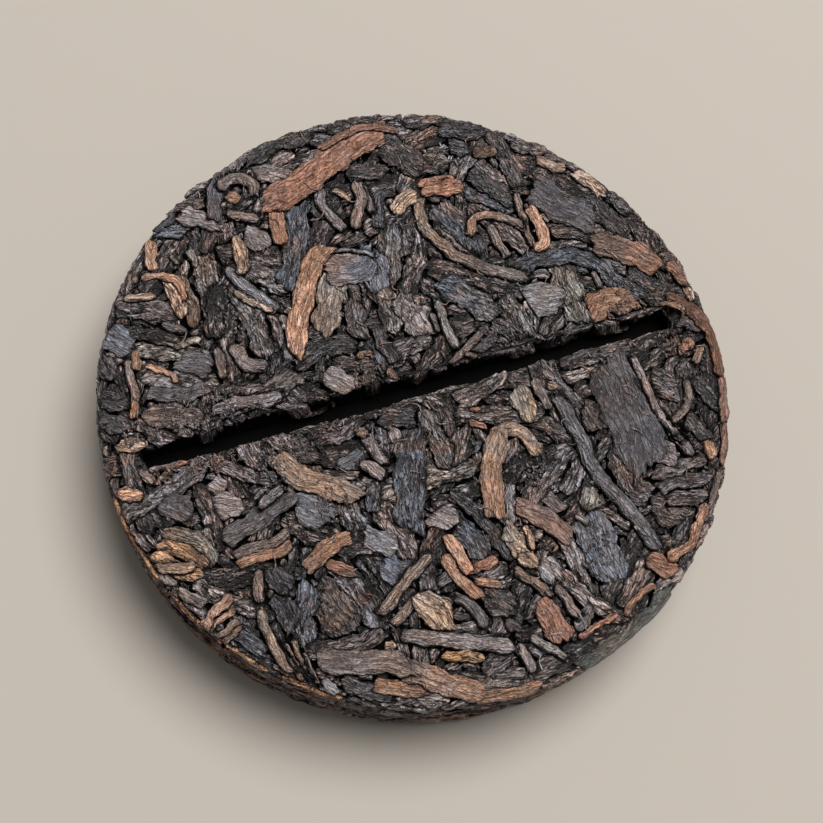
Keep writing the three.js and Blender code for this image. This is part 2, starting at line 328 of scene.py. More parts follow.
def waver(run, size, waves_per_mm):
    """A rough random wave along a run in millimetres."""
    total = np.zeros_like(run)
    for octave in (1, 1.9, 3.7, 7.1):
        phase = random.uniform(0, 2 * math.pi)
        total = total + np.sin(2 * math.pi * waves_per_mm * octave * run + phase) / octave ** 0.8
    return total * size / 2


LATTICE = random.random((LATTICE_SIZE, LATTICE_SIZE))


def soft_noise(u, v):
    """Smooth noise from 0 to 1 over a plane, one wave to a unit."""
    column, row = np.floor(u).astype(int), np.floor(v).astype(int)
    right, up = u - column, v - row
    right, up = right * right * (3 - 2 * right), up * up * (3 - 2 * up)

    def along(rows):
        near = LATTICE[rows % LATTICE_SIZE, column % LATTICE_SIZE]
        far = LATTICE[rows % LATTICE_SIZE, (column + 1) % LATTICE_SIZE]
        return near * (1 - right) + far * right

    return along(row) * (1 - up) + along(row + 1) * up


def crumpled(aside, run, place):
    """Plates drawn out along the leaf, with sharp valleys between: 0 in a valley, near 1 on a plate."""
    coarse = np.abs(2 * soft_noise(1.3 * aside + place, 0.5 * run - place) - 1)
    fine = np.abs(2 * soft_noise(3.1 * aside - place, 1.3 * run + place) - 1)
    return 0.65 * np.minimum(2.2 * coarse, 1) + 0.35 * np.minimum(2.2 * fine, 1)


def valley_shade(height):
    """Painted shade: what lies in a fold, or between plates, is coloured darker."""
    return VALLEY_SHADE + (1 - VALLEY_SHADE) * height


class Leaf:
    """One leaf as the mould presses it: its outline and its free relief, in millimetres."""

    def __init__(self, path, width, thickness=0.36, tips=(0.7, 0.6), ridge_every=0.7, ridge=0.12,
                 twist=0.05, ragged=0.1, depth=0.06, tilt=0.0, edge=0.16, sharp=8, wander=0.14,
                 crumple=0.12, slant=0.6, loose=False):
        points, self.length = smooth_path(path)
        self.spare = 0.5 * width
        steps = np.arange(PATH_STEPS + 1)
        run = np.linspace(-self.spare, self.length + self.spare, PATH_STEPS + 1)
        place = run / self.length * PATH_STEPS
        over = (place - np.clip(place, 0, PATH_STEPS))[:, None]
        ends = np.where(over < 0, points[1] - points[0], points[-1] - points[-2])
        spine = over * ends + np.column_stack([np.interp(place, steps, points[:, 0]),
                                               np.interp(place, steps, points[:, 1])])
        tangent = np.gradient(spine, axis=0)
        tangent /= np.maximum(np.hypot(*tangent.T), TINY)[:, None]
        self.normal = np.column_stack([-tangent[:, 1], tangent[:, 0]])
        self.spine = spine + self.normal * waver(run, wander, WANDER_WAVES)[:, None]
        self.width = width
        share = np.clip(run / self.length, 0, 1)
        end = min(LONGEST_TIP, 0.7 * width / self.length)
        near_start = np.sqrt(1 - (1 - np.clip(share / end, 0, 1)) ** 2)
        near_end = np.sqrt(1 - (1 - np.clip((1 - share) / end, 0, 1)) ** 2)
        outline = 0.5 * width * np.minimum(tips[0] + (1 - tips[0]) * near_start,
                                           tips[1] + (1 - tips[1]) * near_end)
        rough = min(ragged * width, MOST_RAGGED)
        self.left = outline + waver(run, rough, EDGE_WAVES)
        self.right = outline + waver(run, rough, EDGE_WAVES)
        self.shift = waver(run, FOLD_SHIFT, FOLD_WAVES)
        self.sway = waver(run, SWAY, SWAY_WAVES)
        side_run = np.linspace(-width / 2, width / 2, SIDE_STEPS)
        self.start_tear, self.end_tear = [random.uniform(-slant, slant) * side_run
                                          + waver(side_run, TEAR * width, TEAR_WAVES) for _ in range(2)]
        self.ridges = width / ridge_every
        self.thickness, self.ridge, self.twist, self.depth = thickness, ridge, twist, depth
        self.tilt, self.edge, self.sharp, self.loose = tilt, edge, sharp, loose
        self.crumple = crumple
        self.phase = random.uniform(0, 1)
        self.side = np.sign(points[PATH_STEPS // 2, 1]) or 1

    def at(self, share, across):
        """Place, run aside, free height and fold at a share of the length and -1 to 1 across."""
        sides = np.linspace(-1, 1, SIDE_STEPS)
        run = share * self.length + (1 - share) ** 2 * np.interp(across, sides, self.start_tear)
        run = run + share ** 2 * np.interp(across, sides, self.end_tear)
        index = (run + self.spare) / (self.length + 2 * self.spare) * PATH_STEPS
        steps = np.arange(PATH_STEPS + 1)
        left = np.interp(index, steps, self.left)
        right = np.interp(index, steps, self.right)
        aside = across * np.where(across > 0, left, right)
        x = np.interp(index, steps, self.spine[:, 0]) + np.interp(index, steps, self.normal[:, 0]) * aside
        y = np.interp(index, steps, self.spine[:, 1]) + np.interp(index, steps, self.normal[:, 1]) * aside
        turn = self.ridges * (across / 2 + 0.5 + np.interp(index, steps, self.shift))
        turn = turn + self.phase + self.twist * run + 0.3 * np.sin(4 * across + 7 * self.phase)
        plates = crumpled(aside, run, 40 * self.phase)
        fade = np.clip(0.25 + 1.3 * soft_noise(1.6 * aside + 9 * self.phase, 0.6 * run), 0, 1)
        fold = 1 - fade * (1 - np.abs(np.sin(math.pi * turn)) ** FOLD_SHARPNESS)
        height = np.interp(index, steps, self.sway) - self.depth + self.tilt * aside
        height = height + self.ridge * (fold - 1) + self.crumple * (plates - PLATE_LEVEL)
        height = height - self.edge * np.abs(across) ** self.sharp
        height = height - self.edge * np.abs(2 * share - 1) ** END_SHARPNESS
        return x, y, aside, np.minimum(height, 0), fold * valley_shade(plates)

    def thick(self, share, across):
        """Full thickness but for the rounded sides and ends."""
        return self.thickness * (1 - np.abs(across) ** 12) * (1 - np.abs(2 * share - 1) ** 16)


def beside_groove(x, y, side, nearest):
    """No leaf bridges the groove: what would cross it ends near its middle."""
    end = GROOVE_HALF_LENGTH - GROOVE_HALF_WIDTH
    return np.where(np.abs(x) < end, side * np.maximum(side * y, nearest), y)


class Heap:
    """Leaves of one kind, gathered corner by corner and made into one mesh at the end."""

    rolls = {}

    def __init__(self, name, step=0.15, fewest=3):
        self.name = name
        self.step = step
        self.fewest = fewest
        self.corners, self.tints, self.reliefs, self.grains = [], [], [], []
        self.loops, self.totals = [], []
        self.count = 0

    def roll(self, around, along):
        """A closed roll with a pole at each tip: ring and turn of each corner, and its faces."""
        if (around, along) not in Heap.rolls:
            bm = bmesh.new()
            bmesh.ops.create_uvsphere(bm, u_segments=around, v_segments=along, radius=1)
            bm.verts.index_update()
            ball = np.array([corner.co for corner in bm.verts])
            ring = (np.arccos(np.clip(-ball[:, 2], -1, 1)) / math.pi * along).round() / along
            turn = (np.arctan2(ball[:, 1], ball[:, 0]) / (2 * math.pi) * around).round() % around
            loops = np.array([corner.index for face in bm.faces for corner in face.verts])
            totals = np.array([len(face.verts) for face in bm.faces])
            bm.free()
            Heap.rolls[(around, along)] = ring, turn, loops, totals
        return Heap.rolls[(around, along)]

    def lay(self, skin, leaf, tint, least_shown=0.06):
        """Presses a leaf under all that was laid before it, if enough of it will show."""
        dense_share, dense_across = np.meshgrid(np.linspace(0, 1, max(int(leaf.length / PRESS_STEP), 8)),
                                                np.linspace(-1, 1, max(int(leaf.width / PRESS_STEP), 6)))
        dense_share, dense_across = dense_share.ravel(), dense_across.ravel()
        on_back = 2 * int(np.clip(leaf.width / self.step / 2, self.fewest, MOST_AROUND))
        under = min(2 * self.fewest, 4)
        along = int(np.clip(leaf.length / self.step / LONG_FACES, FEWEST_ALONG, MOST_ALONG))
        ring, turn, loops, totals = self.roll(on_back + under, along)
        across = np.where(turn <= on_back, 1 - 2 * turn / on_back, 2 * (turn - on_back) / under - 1)
        across = np.where((ring == 0) | (ring == 1), 0, across)
        share = np.concatenate([ring, dense_share])
        across = np.concatenate([across, dense_across])
        x, y, aside, free, fold = leaf.at(share, across)
        if skin.mapping is on_top:
            y = beside_groove(x, y, leaf.side, LOOSE_NEAREST if leaf.loose else PRESSED_NEAREST)
        corners = len(ring)
        if skin.shown(x[corners:], y[corners:]) < least_shown:
            return
        if leaf.loose:
            pressed = free + skin.resting(x, y) + leaf.thickness
        else:
            ceiling = skin.tucked(x, y)
            pressed = np.where(ceiling < 0, np.minimum(free, ceiling - TUCK_GAP), free)
        bottom = pressed - leaf.thick(share, across)
        if not leaf.loose:
            row, column = skin.cells(x[corners:], y[corners:])
            np.minimum.at(skin.ceiling, (row, column), bottom[corners:].astype(np.float32))
            np.maximum.at(skin.surface, (row, column), pressed[corners:].astype(np.float32))
            seen = pressed[corners:] > CORE_TOP
            skin.covered[row[seen], column[seen]] = True
        lift = np.where(turn <= on_back, pressed[:corners], bottom[:corners])
        places = skin.mapping(x[:corners], y[:corners], lift)
        offset = random.uniform(-GRAIN_SHIFT, GRAIN_SHIFT, 2)
        grain = np.column_stack([aside[:corners], ring * leaf.length]) + offset
        # Painted shade: corners that lie deeper, or in folds and plate valleys, get a lower relief, which
        # the skin colours darker.
        relief = np.clip(1 + lift / RELIEF_DEPTH, 0, 1) * valley_shade(fold[:corners])
        start_tint, end_tint = tint if np.ndim(tint) == 2 else (tint, tint)
        drifting = soft_noise(aside[:corners], offset[0] + ring * leaf.length)
        change = np.clip(1.6 * ring - 0.8 + drifting, 0, 1)
        colours = np.array(start_tint) + change[:, None] * (np.array(end_tint) - np.array(start_tint))
        colours = colours * random.uniform(FADED_TINT, FRESH_TINT)
        self.gather(places, grain, relief, colours, loops, totals)

    def gather(self, places, grain, relief, colours, loops, totals):
        """Takes in one closed form: places in millimetres, and the faces by their corners."""
        corners = len(relief)
        self.corners.append(np.column_stack(places) * MM)
        self.grains.append(grain)
        self.reliefs.append(relief)
        self.tints.append(np.column_stack([colours, np.ones(corners)]))
        self.loops.append(loops + self.count)
        self.totals.append(totals)
        self.count += corners

    def mesh(self):
        loops = np.concatenate(self.loops)
        totals = np.concatenate(self.totals)
        starts = np.concatenate([[0], np.cumsum(totals)[:-1]])
        mesh = bpy.data.meshes.new(self.name)
        mesh.vertices.add(self.count)
        mesh.vertices.foreach_set("co", np.vstack(self.corners).astype(np.float32).ravel())
        mesh.loops.add(len(loops))
        mesh.loops.foreach_set("vertex_index", loops.astype(np.int32))
        mesh.polygons.add(len(totals))
        mesh.polygons.foreach_set("loop_start", starts.astype(np.int32))
        mesh.polygons.foreach_set("use_smooth", np.ones(len(totals), dtype=bool))
        mesh.update(calc_edges=True)
        grain = mesh.uv_layers.new(name="grain")
        grain.uv.foreach_set("vector", np.vstack(self.grains)[loops].astype(np.float32).ravel())
        tint = mesh.attributes.new("leaf_tint", "FLOAT_COLOR", "POINT")
        tint.data.foreach_set("color", np.vstack(self.tints).astype(np.float32).ravel())
        relief = mesh.attributes.new("relief", "FLOAT", "POINT")
        relief.data.foreach_set("value", np.concatenate(self.reliefs).astype(np.float32))
        return mesh


def turned_back(path):
    """The leaves were measured while the groove ran a little off X."""
    cosine, sine = math.cos(MEASURED_TURN), math.sin(MEASURED_TURN)
    return [(x * cosine + y * sine, y * cosine - x * sine) for x, y in path]


def lay_measured(heap, skin, leaves, form):
    """Lays the leaves whose places were measured: width, tint and path of each."""
    for width, tint, path in leaves:
        tilt = random.uniform(-MEASURED_TILT, MEASURED_TILT)
        heap.lay(skin, Leaf(turned_back(path), width, tilt=tilt, **form), tint)


def socket(group, name, kind, way, value=None):
    made = group.interface.new_socket(name=name, in_out=way, socket_type=kind)
    if value is not None:
        made.default_value = value


def maths(tree, operation, first, second):
    """A Math node of two inputs, each a socket or a number."""
    node = tree.nodes.new("ShaderNodeMath")
    node.operation = operation
    for place, value in enumerate((first, second)):
        if isinstance(value, (int, float)):
            node.inputs[place].default_value = value
        else:
            tree.links.new(value, node.inputs[place])
    return node.outputs[0]


def leaf_skin_group():
    """Withered leaf skin: creases and cracks along the leaf with painted shade in them, plates of their
    own shade, rust, and grey bloom mixed with painted sheen.
    """
    group = bpy.data.node_groups.new("leaf_skin", "ShaderNodeTree")
    socket(group, "Tint", "NodeSocketColor", "INPUT", (0.1, 0.08, 0.08, 1))
    socket(group, "Relief", "NodeSocketFloat", "INPUT", 1.0)
    socket(group, "Grain", "NodeSocketVector", "INPUT")
    socket(group, "Streaks", "NodeSocketFloat", "INPUT", 0.5)
    socket(group, "Cracks", "NodeSocketFloat", "INPUT", 0.8)
    socket(group, "Sheen_and_Bloom", "NodeSocketFloat", "INPUT", 0.3)
    socket(group, "Rust", "NodeSocketFloat", "INPUT", 0.0)
    socket(group, "Colour", "NodeSocketColor", "OUTPUT")
    socket(group, "Roughness", "NodeSocketFloat", "OUTPUT")
    socket(group, "Height", "NodeSocketFloat", "OUTPUT")
    given = group.nodes.new("NodeGroupInput").outputs
    result = group.nodes.new("NodeGroupOutput").inputs
    whole_cake = group.nodes.new("ShaderNodeTexCoord").outputs["Object"]

    def stretched(across, along):
        mapping = group.nodes.new("ShaderNodeMapping")
        mapping.inputs["Scale"].default_value = (across, along, 1)
        group.links.new(given["Grain"], mapping.inputs["Vector"])
        return mapping.outputs["Vector"]

    def noise(vector, scale, detail, rough, swirl=0.0):
        node = group.nodes.new("ShaderNodeTexNoise")
        node.inputs["Scale"].default_value = scale
        node.inputs["Detail"].default_value = detail
        node.inputs["Roughness"].default_value = rough
        node.inputs["Distortion"].default_value = swirl
        group.links.new(vector, node.inputs["Vector"])
        return node.outputs

    def creased(vector, swirl):
        """How far each place is from the nearest of many thin lines along the leaf: 0 on a line."""
        level = noise(vector, 1, 2.5, 0.55, swirl)["Fac"]
        return maths(group, "ABSOLUTE", maths(group, "SUBTRACT", level, 0.5), 0)

    def cells(vector, feature, output):
        node = group.nodes.new("ShaderNodeTexVoronoi")
        node.feature = feature
        node.inputs["Scale"].default_value = 1
        group.links.new(vector, node.inputs["Vector"])
        return node.outputs[output]

    def ranged(value, low, high, to_low, to_high):
        node = group.nodes.new("ShaderNodeMapRange")
        node.inputs["From Min"].default_value = low
        node.inputs["From Max"].default_value = high
        node.inputs["To Min"].default_value = to_low
        node.inputs["To Max"].default_value = to_high
        group.links.new(value, node.inputs["Value"])
        return node.outputs["Result"]

    def times(*values):
        product = values[0]
        for value in values[1:]:
            product = maths(group, "MULTIPLY", product, value)
        return product

    def mixed(factor, first, second, blend="MIX"):
        """Blends two colours, each a socket or three numbers."""
        node = group.nodes.new("ShaderNodeMix")
        node.data_type = "RGBA"
        node.blend_type = blend
        for place, value in (("Factor", factor), ("A", first), ("B", second)):
            if isinstance(value, tuple):
                node.inputs[place].default_value = (*value, 1)
            elif isinstance(value, (int, float)):
                node.inputs[place].default_value = value
            else:
                group.links.new(value, node.inputs[place])
        return node.outputs["Result"]

    streak = noise(stretched(2.8, 0.6), 1, 4, 0.6, 0.4)["Fac"]
    speck = noise(stretched(7.5, 5.5), 1, 3, 0.65)["Fac"]
    fibre = noise(stretched(7.5, 0.9), 1, 3, 0.65, 0.3)["Fac"]
    patch = noise(stretched(0.7, 0.45), 1, 3, 0.6, 0.6)["Fac"]
    region = noise(whole_cake, 330, 3, 0.55, 0.8)["Fac"]
    grit = noise(whole_cake, 5200, 2, 0.8)["Fac"]
    swirl = group.nodes.new("ShaderNodeVectorMath")
    swirl.operation = "ADD"
    group.links.new(stretched(2.1, 0.7), swirl.inputs[0])
    group.links.new(noise(given["Grain"], 0.9, 2, 0.5)["Color"], swirl.inputs[1])
    plate = cells(swirl.outputs["Vector"], "F1", "Color")
    crack = ranged(cells(swirl.outputs["Vector"], "DISTANCE_TO_EDGE", "Distance"), 0.01, 0.1, 1, 0)
    crack = times(crack, given["Cracks"], ranged(patch, 0.35, 0.6, 0.35, 1))
    fold_line = creased(stretched(2.2, 0.5), 0.6)
    fine_line = creased(stretched(4.2, 1.3), 0.8)
    crease = times(ranged(fold_line, 0.03, 0.085, 1, 0), given["Cracks"])
    crease = times(crease, ranged(speck, 0.35, 0.55, 0.45, 1))
    wrinkle = times(ranged(fine_line, 0.025, 0.085, 1, 0), given["Cracks"])
    wrinkle = times(wrinkle, ranged(patch, 0.35, 0.6, 0.35, 1))
    rust = times(ranged(noise(whole_cake, 230, 4, 0.6, 0.8)["Fac"], 0.57, 0.64, 0, 1), given["Rust"])
    rust = times(rust, ranged(fibre, 0.35, 0.6, 0.2, 1))

    shade = maths(group, "ADD", 1.0, times(maths(group, "SUBTRACT", streak, 0.5), given["Streaks"], 2.4))
    shade = times(shade, ranged(speck, 0.25, 0.75, 0.32, 1.68), ranged(patch, 0.3, 0.7, 0.82, 1.18))
    shade = times(shade, ranged(plate, 0, 1, 0.78, 1.22), ranged(grit, 0.3, 0.7, 0.45, 1.55))
    shade = times(shade, ranged(fibre, 0.3, 0.7, 0.88, 1.12))
    # Painted shade: the skin is darker along fold lines and nearly black in cracks, creases and wrinkles,
    # as if in deep shade.
    shade = times(shade, ranged(fold_line, 0, 0.16, 0.75, 1.15))
    shade = times(shade, ranged(crack, 0, 1, 1, 0.1), ranged(crease, 0, 1, 1, 0.04))
    shade = times(shade, ranged(wrinkle, 0, 1, 1.05, 0.12))
    # Painted shade and highlight: low and folded places are coloured darker, high places lighter.
    shade = times(shade, ranged(given["Relief"], 0.15, 0.58, 0.03, 1.28))
    shoulder = maths(group, "ADD", 1.0, times(shade, SHOULDER))
    shade = maths(group, "DIVIDE", times(shade, SHADE_GAIN), shoulder)
    shade = maths(group, "MAXIMUM", maths(group, "SUBTRACT", shade, SHADE_CUT), DARKEST)
    # The darker the shade, painted shade included, the warmer its colour; the lighter, the cooler.
    warmth = group.nodes.new("ShaderNodeCombineColor")
    for channel, power in (("Red", 0.92), ("Green", 1.01), ("Blue", 1.04)):
        group.links.new(maths(group, "POWER", shade, power), warmth.inputs[channel])
    colour = mixed(rust, given["Tint"], RUST_FLECK)
    colour = mixed(1, colour, warmth.outputs["Color"], "MULTIPLY")
    leaning = mixed(ranged(region, 0.36, 0.64, 0, 1), WARM_REGION, COOL_REGION)
    colour = mixed(1, colour, leaning, "MULTIPLY")
    # Bloom and painted sheen: grey is mixed in on specks of the higher places, away from the wrinkles.
    bloom_and_sheen = times(ranged(speck, 0.42, 0.68, 0, 1), ranged(patch, 0.4, 0.6, 0.1, 1), given["Sheen_and_Bloom"])
    bloom_and_sheen = times(bloom_and_sheen, ranged(given["Relief"], 0.6, 1, 0, 1), ranged(wrinkle, 0, 1, 1, 0))
    group.links.new(mixed(bloom_and_sheen, colour, BLOOM_AND_SHEEN_GREY), result["Colour"])
    group.links.new(ranged(streak, 0.3, 0.7, 0.6, 0.34), result["Roughness"])
    height = maths(group, "ADD", times(streak, 0.55), ranged(fold_line, 0, 0.1, 0, 0.75))
    height = maths(group, "ADD", height, ranged(fine_line, 0, 0.08, 0, 0.3))
    height = maths(group, "SUBTRACT", height, times(crack, 0.5))
    height = maths(group, "ADD", height, times(speck, 0.4))
    height = maths(group, "ADD", height, times(grit, 0.5))
    height = maths(group, "ADD", height, times(plate, 0.2))
    height = maths(group, "ADD", height, times(fibre, 0.12))
    group.links.new(height, result["Height"])
    return group


LEAF_SKIN = leaf_skin_group()


def leaf_material(name, streaks, cracks, bloom_and_sheen, wrinkle, gloss=0.5, rust=0.0):
    """Leaf skin on a Principled shader; wrinkle is the height of its relief in metres."""
    material = bpy.data.materials.new(name)
    material.use_nodes = True
    nodes, links = material.node_tree.nodes, material.node_tree.links
    shader = nodes["Principled BSDF"]
    tint = nodes.new("ShaderNodeAttribute")
    tint.attribute_name = "leaf_tint"
    relief = nodes.new("ShaderNodeAttribute")
    relief.attribute_name = "relief"
    grain = nodes.new("ShaderNodeUVMap")
    grain.uv_map = "grain"
    skin = nodes.new("ShaderNodeGroup")
    skin.node_tree = LEAF_SKIN
    skin.inputs["Streaks"].default_value = streaks
    skin.inputs["Cracks"].default_value = cracks
    skin.inputs["Sheen_and_Bloom"].default_value = bloom_and_sheen
    skin.inputs["Rust"].default_value = rust
    bump = nodes.new("ShaderNodeBump")
    bump.inputs["Distance"].default_value = wrinkle
    links.new(tint.outputs["Color"], skin.inputs["Tint"])
    links.new(relief.outputs["Fac"], skin.inputs["Relief"])
    links.new(grain.outputs["UV"], skin.inputs["Grain"])
    links.new(skin.outputs["Colour"], shader.inputs["Base Color"])
    links.new(skin.outputs["Roughness"], shader.inputs["Roughness"])
    links.new(skin.outputs["Height"], bump.inputs["Height"])
    links.new(bump.outputs["Normal"], shader.inputs["Normal"])
    shader.inputs["Specular IOR Level"].default_value = gloss
    return material


def fasten(heap, material):
    """Makes the heap one piece of the cake."""
    piece = placed(heap.mesh(), heap.name)
    piece.data.materials.append(material)
    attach(piece, "root")
    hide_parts("tea_cake")


top_skin = Skin(SKIN_REACH, on_top)
FLAT_STRIP = dict(thickness=0.32, ridge_every=1.1, ridge=0.06, twist=0.02, ragged=0.08, crumple=0.09,
                  depth=0.02, wander=0.06)
SCRAP = dict(thickness=0.3, ridge_every=0.4, ridge=0.08, twist=0.02, ragged=0.2, crumple=0.12,
             depth=0.04, tips=(0.4, 0.25), wander=0.2)
SPLIT_STALK = dict(thickness=0.36, ridge_every=0.45, ridge=0.1, twist=0.03, ragged=0.11, crumple=0.12,
                   depth=0.06)
RED_STRIPS = [
    (0.7, RUST, [(-2.2, 22.1), (0.2, 23.0), (2.4, 23.3), (4.8, 22.3)]),
    (2.6, RUST, [(-7.9, 18.3), (-5, 19.0), (-2, 20.6), (1, 22.0), (3.7, 22.7)]),
    (1.3, ORANGE, [(-6.9, 17.6), (-7.3, 16), (-7.3, 14.3)]),
    (1.7, (ORANGE, SALMON), [(-3.8, 13.3), (-5.4, 12.0), (-6.7, 9.7), (-7.8, 7.4), (-8.8, 4.7)]),
    (1.9, TAN, [(-12.5, -2.7), (-11, -5), (-9, -6.3), (-7.1, -7.7)]),
    (1.8, (ORANGE, TAN), [(2.3, -11.9), (3, -8.5), (3.8, -7), (4.9, -5)]),
    (1.1, TAN, [(4.6, -5.1), (6.3, -5.7), (7.1, -8)]),
    (1.6, PINK_RUST, [(4.1, -11.2), (6, -13), (7.4, -14.9)]),
    (1.8, PINK_BROWN, [(-13.4, -18.5), (-11, -19.3), (-9, -19.8), (-7, -20.8)]),
    (1.8, (PINK_BROWN, ORANGE), [(-7.9, -20.3), (-5, -22.6), (-2.6, -24.1)]),
    (1.3, ORANGE, [(-3.2, -24.2), (-0.8, -24.8), (1.7, -24.8)]),
    (1.2, ORANGE, [(-10, -21.2), (-8.5, -21.9), (-6.6, -22.6)]),
    (1.0, SALMON, [(13.3, 13.0), (13.7, 11), (13.5, 9.5), (12.5, 9.0)]),
    (1.0, SALMON, [(-1.6, -12), (-1.2, -14), (-0.8, -15.4)]),
    (1.0, ORANGE, [(-2.3, -13.5), (-1.8, -15.5), (-0.5, -17.3)]),
    (0.7, ORANGE, [(-0.8, -16), (1.1, -16.8)]),
    (1.4, ORANGE, [(2.5, -8.2), (2.8, -10), (2.3, -11.8)]),
]
RED_SCRAPS = [
    (1.1, SALMON, [(-17.3, 17.2), (-17.9, 14.4)]),
    (0.7, SALMON, [(-18.7, 14.2), (-17.2, 13.8), (-16.2, 13.2), (-16, 11.3)]),
    (1.2, SALMON, [(-24.3, -2.7), (-22.5, -3.4)]),
    (0.8, PINK_BROWN, [(-22.3, -1.4), (-21.4, -2.6)]),
    (0.7, RUST, [(-19.8, -1.6), (-18.8, -1.9)]),
    (0.8, (SALMON, ORANGE), [(-20.9, -14.2), (-19.6, -13.2), (-18.0, -12.4)]),
    (0.5, ORANGE, [(-20.8, -14.6), (-19.4, -14.0), (-18.0, -13.3)]),
    (0.5, TAN, [(-20.4, -15.1), (-19.1, -14.6), (-18.0, -14.1)]),
    (0.5, (TAN, RIM_RED), [(-19.9, -15.7), (-18.8, -15.2), (-17.8, -14.8)]),
    (1.5, ORANGE, [(-10.6, 19.6), (-9.5, 19.4)]),
    (0.5, SALMON, [(-20, 6.8), (-18.7, 5.6), (-18, 4.7)]),
    (0.7, ORANGE, [(-20.4, 8.1), (-20.8, 6.4)]),
    (0.6, ORANGE, [(-21.4, 4.1), (-21.8, 2.6)]),
    (0.9, RUST, [(-1.2, -14.9), (1.5, -15.0)]),
    (0.9, ORANGE, [(14.0, -18.4), (16, -17.6), (17.5, -16.3), (18.4, -14.9)]),
    (0.9, ORANGE, [(20.4, -10.2), (20.3, -11.8)]),
    (0.9, RUST, [(22.4, -1.7), (20.9, -2.7)]),
    (0.5, RUST, [(5.4, -22.1), (6.6, -21.8), (8.8, -21.2)]),
    (0.6, ORANGE, [(9.2, -21.2), (10.6, -20.6), (12.4, -19.8)]),
    (0.6, ORANGE, [(20.9, 1.8), (22.8, 0.8)]),
    (0.7, SALMON, [(1.5, 7.2), (2.5, 6.8)]),
    (0.5, ORANGE, [(2.7, -3.9), (3.9, -4.9)]),
    (0.4, RUST, [(3.1, -2.9), (3.9, -3.2)]),
    (0.8, ORANGE, [(-6.1, -2.4), (-5.1, -2.6)]),
]
RED_SPLITS = [
    (1.4, RIM_BAND, [(20.9, 2.2), (22.7, 1.4), (23.9, 0.0), (24.3, -2.3), (23.8, -5.4)]),
    (1.1, RIM_RED, [(23.9, -5.2), (23.3, -7.4), (22.5, -9.2)]),
    (1.0, RIM_RED, [(22.9, 5.2), (23.9, 2.9)]),
    (0.8, RIM_RED, [(22.9, -8.3), (21.2, -12.5)]),
    (1.5, RUST, [(5.1, 16.5), (8.6, 16.0)]),
    (0.7, RUST, [(4.9, 17.1), (8.1, 16.9)]),
    (2.4, ORANGE, [(15.1, 2.4), (17, 3.2), (19.1, 2.6)]),
    (2.3, (BROWN_RIDGE, RIM_RED), [(17.4, 8.5), (19.8, 7.2), (22.1, 4.9)]),
    (0.8, ORANGE, [(-17.2, -10.2), (-14.5, -10.1), (-12.9, -9.6)]),
    (0.9, PINK_BROWN, [(-17.3, -9.5), (-14.5, -9.3), (-12.8, -8.8)]),
    (1.3, ORANGE, [(-12.4, -12.1), (-11, -11), (-8.6, -10.2)]),
    (0.9, RUST, [(-11.1, -12), (-8.9, -13)]),
    (0.8, TAN, [(-23, -9), (-20, -9.5)]),
    (1.0, TAN, [(15.4, 17.1), (17.6, 15.6)]),
    (2.0, RUST, [(3.4, -18.9), (4.0, -20.6), (4.2, -22.1)]),
    (1.5, RUST, [(12.4, -17.9), (14.4, -19.4)]),
    (1.0, PINK_BROWN, [(-21.7, -11), (-20, -12.5)]),
    (0.7, PINK_BROWN, [(20.7, -12.7), (18, -16.4)]),
]
red_leaves = Heap("red_leaves", 0.1)
lay_measured(red_leaves, top_skin, RED_STRIPS, FLAT_STRIP)
lay_measured(red_leaves, top_skin, RED_SCRAPS, SCRAP)
lay_measured(red_leaves, top_skin, RED_SPLITS, SPLIT_STALK)
red_skin = leaf_material("red_leaf_skin", streaks=0.3, cracks=0.55, bloom_and_sheen=0.1, wrinkle=0.00025, gloss=0.35)
fasten(red_leaves, red_skin)

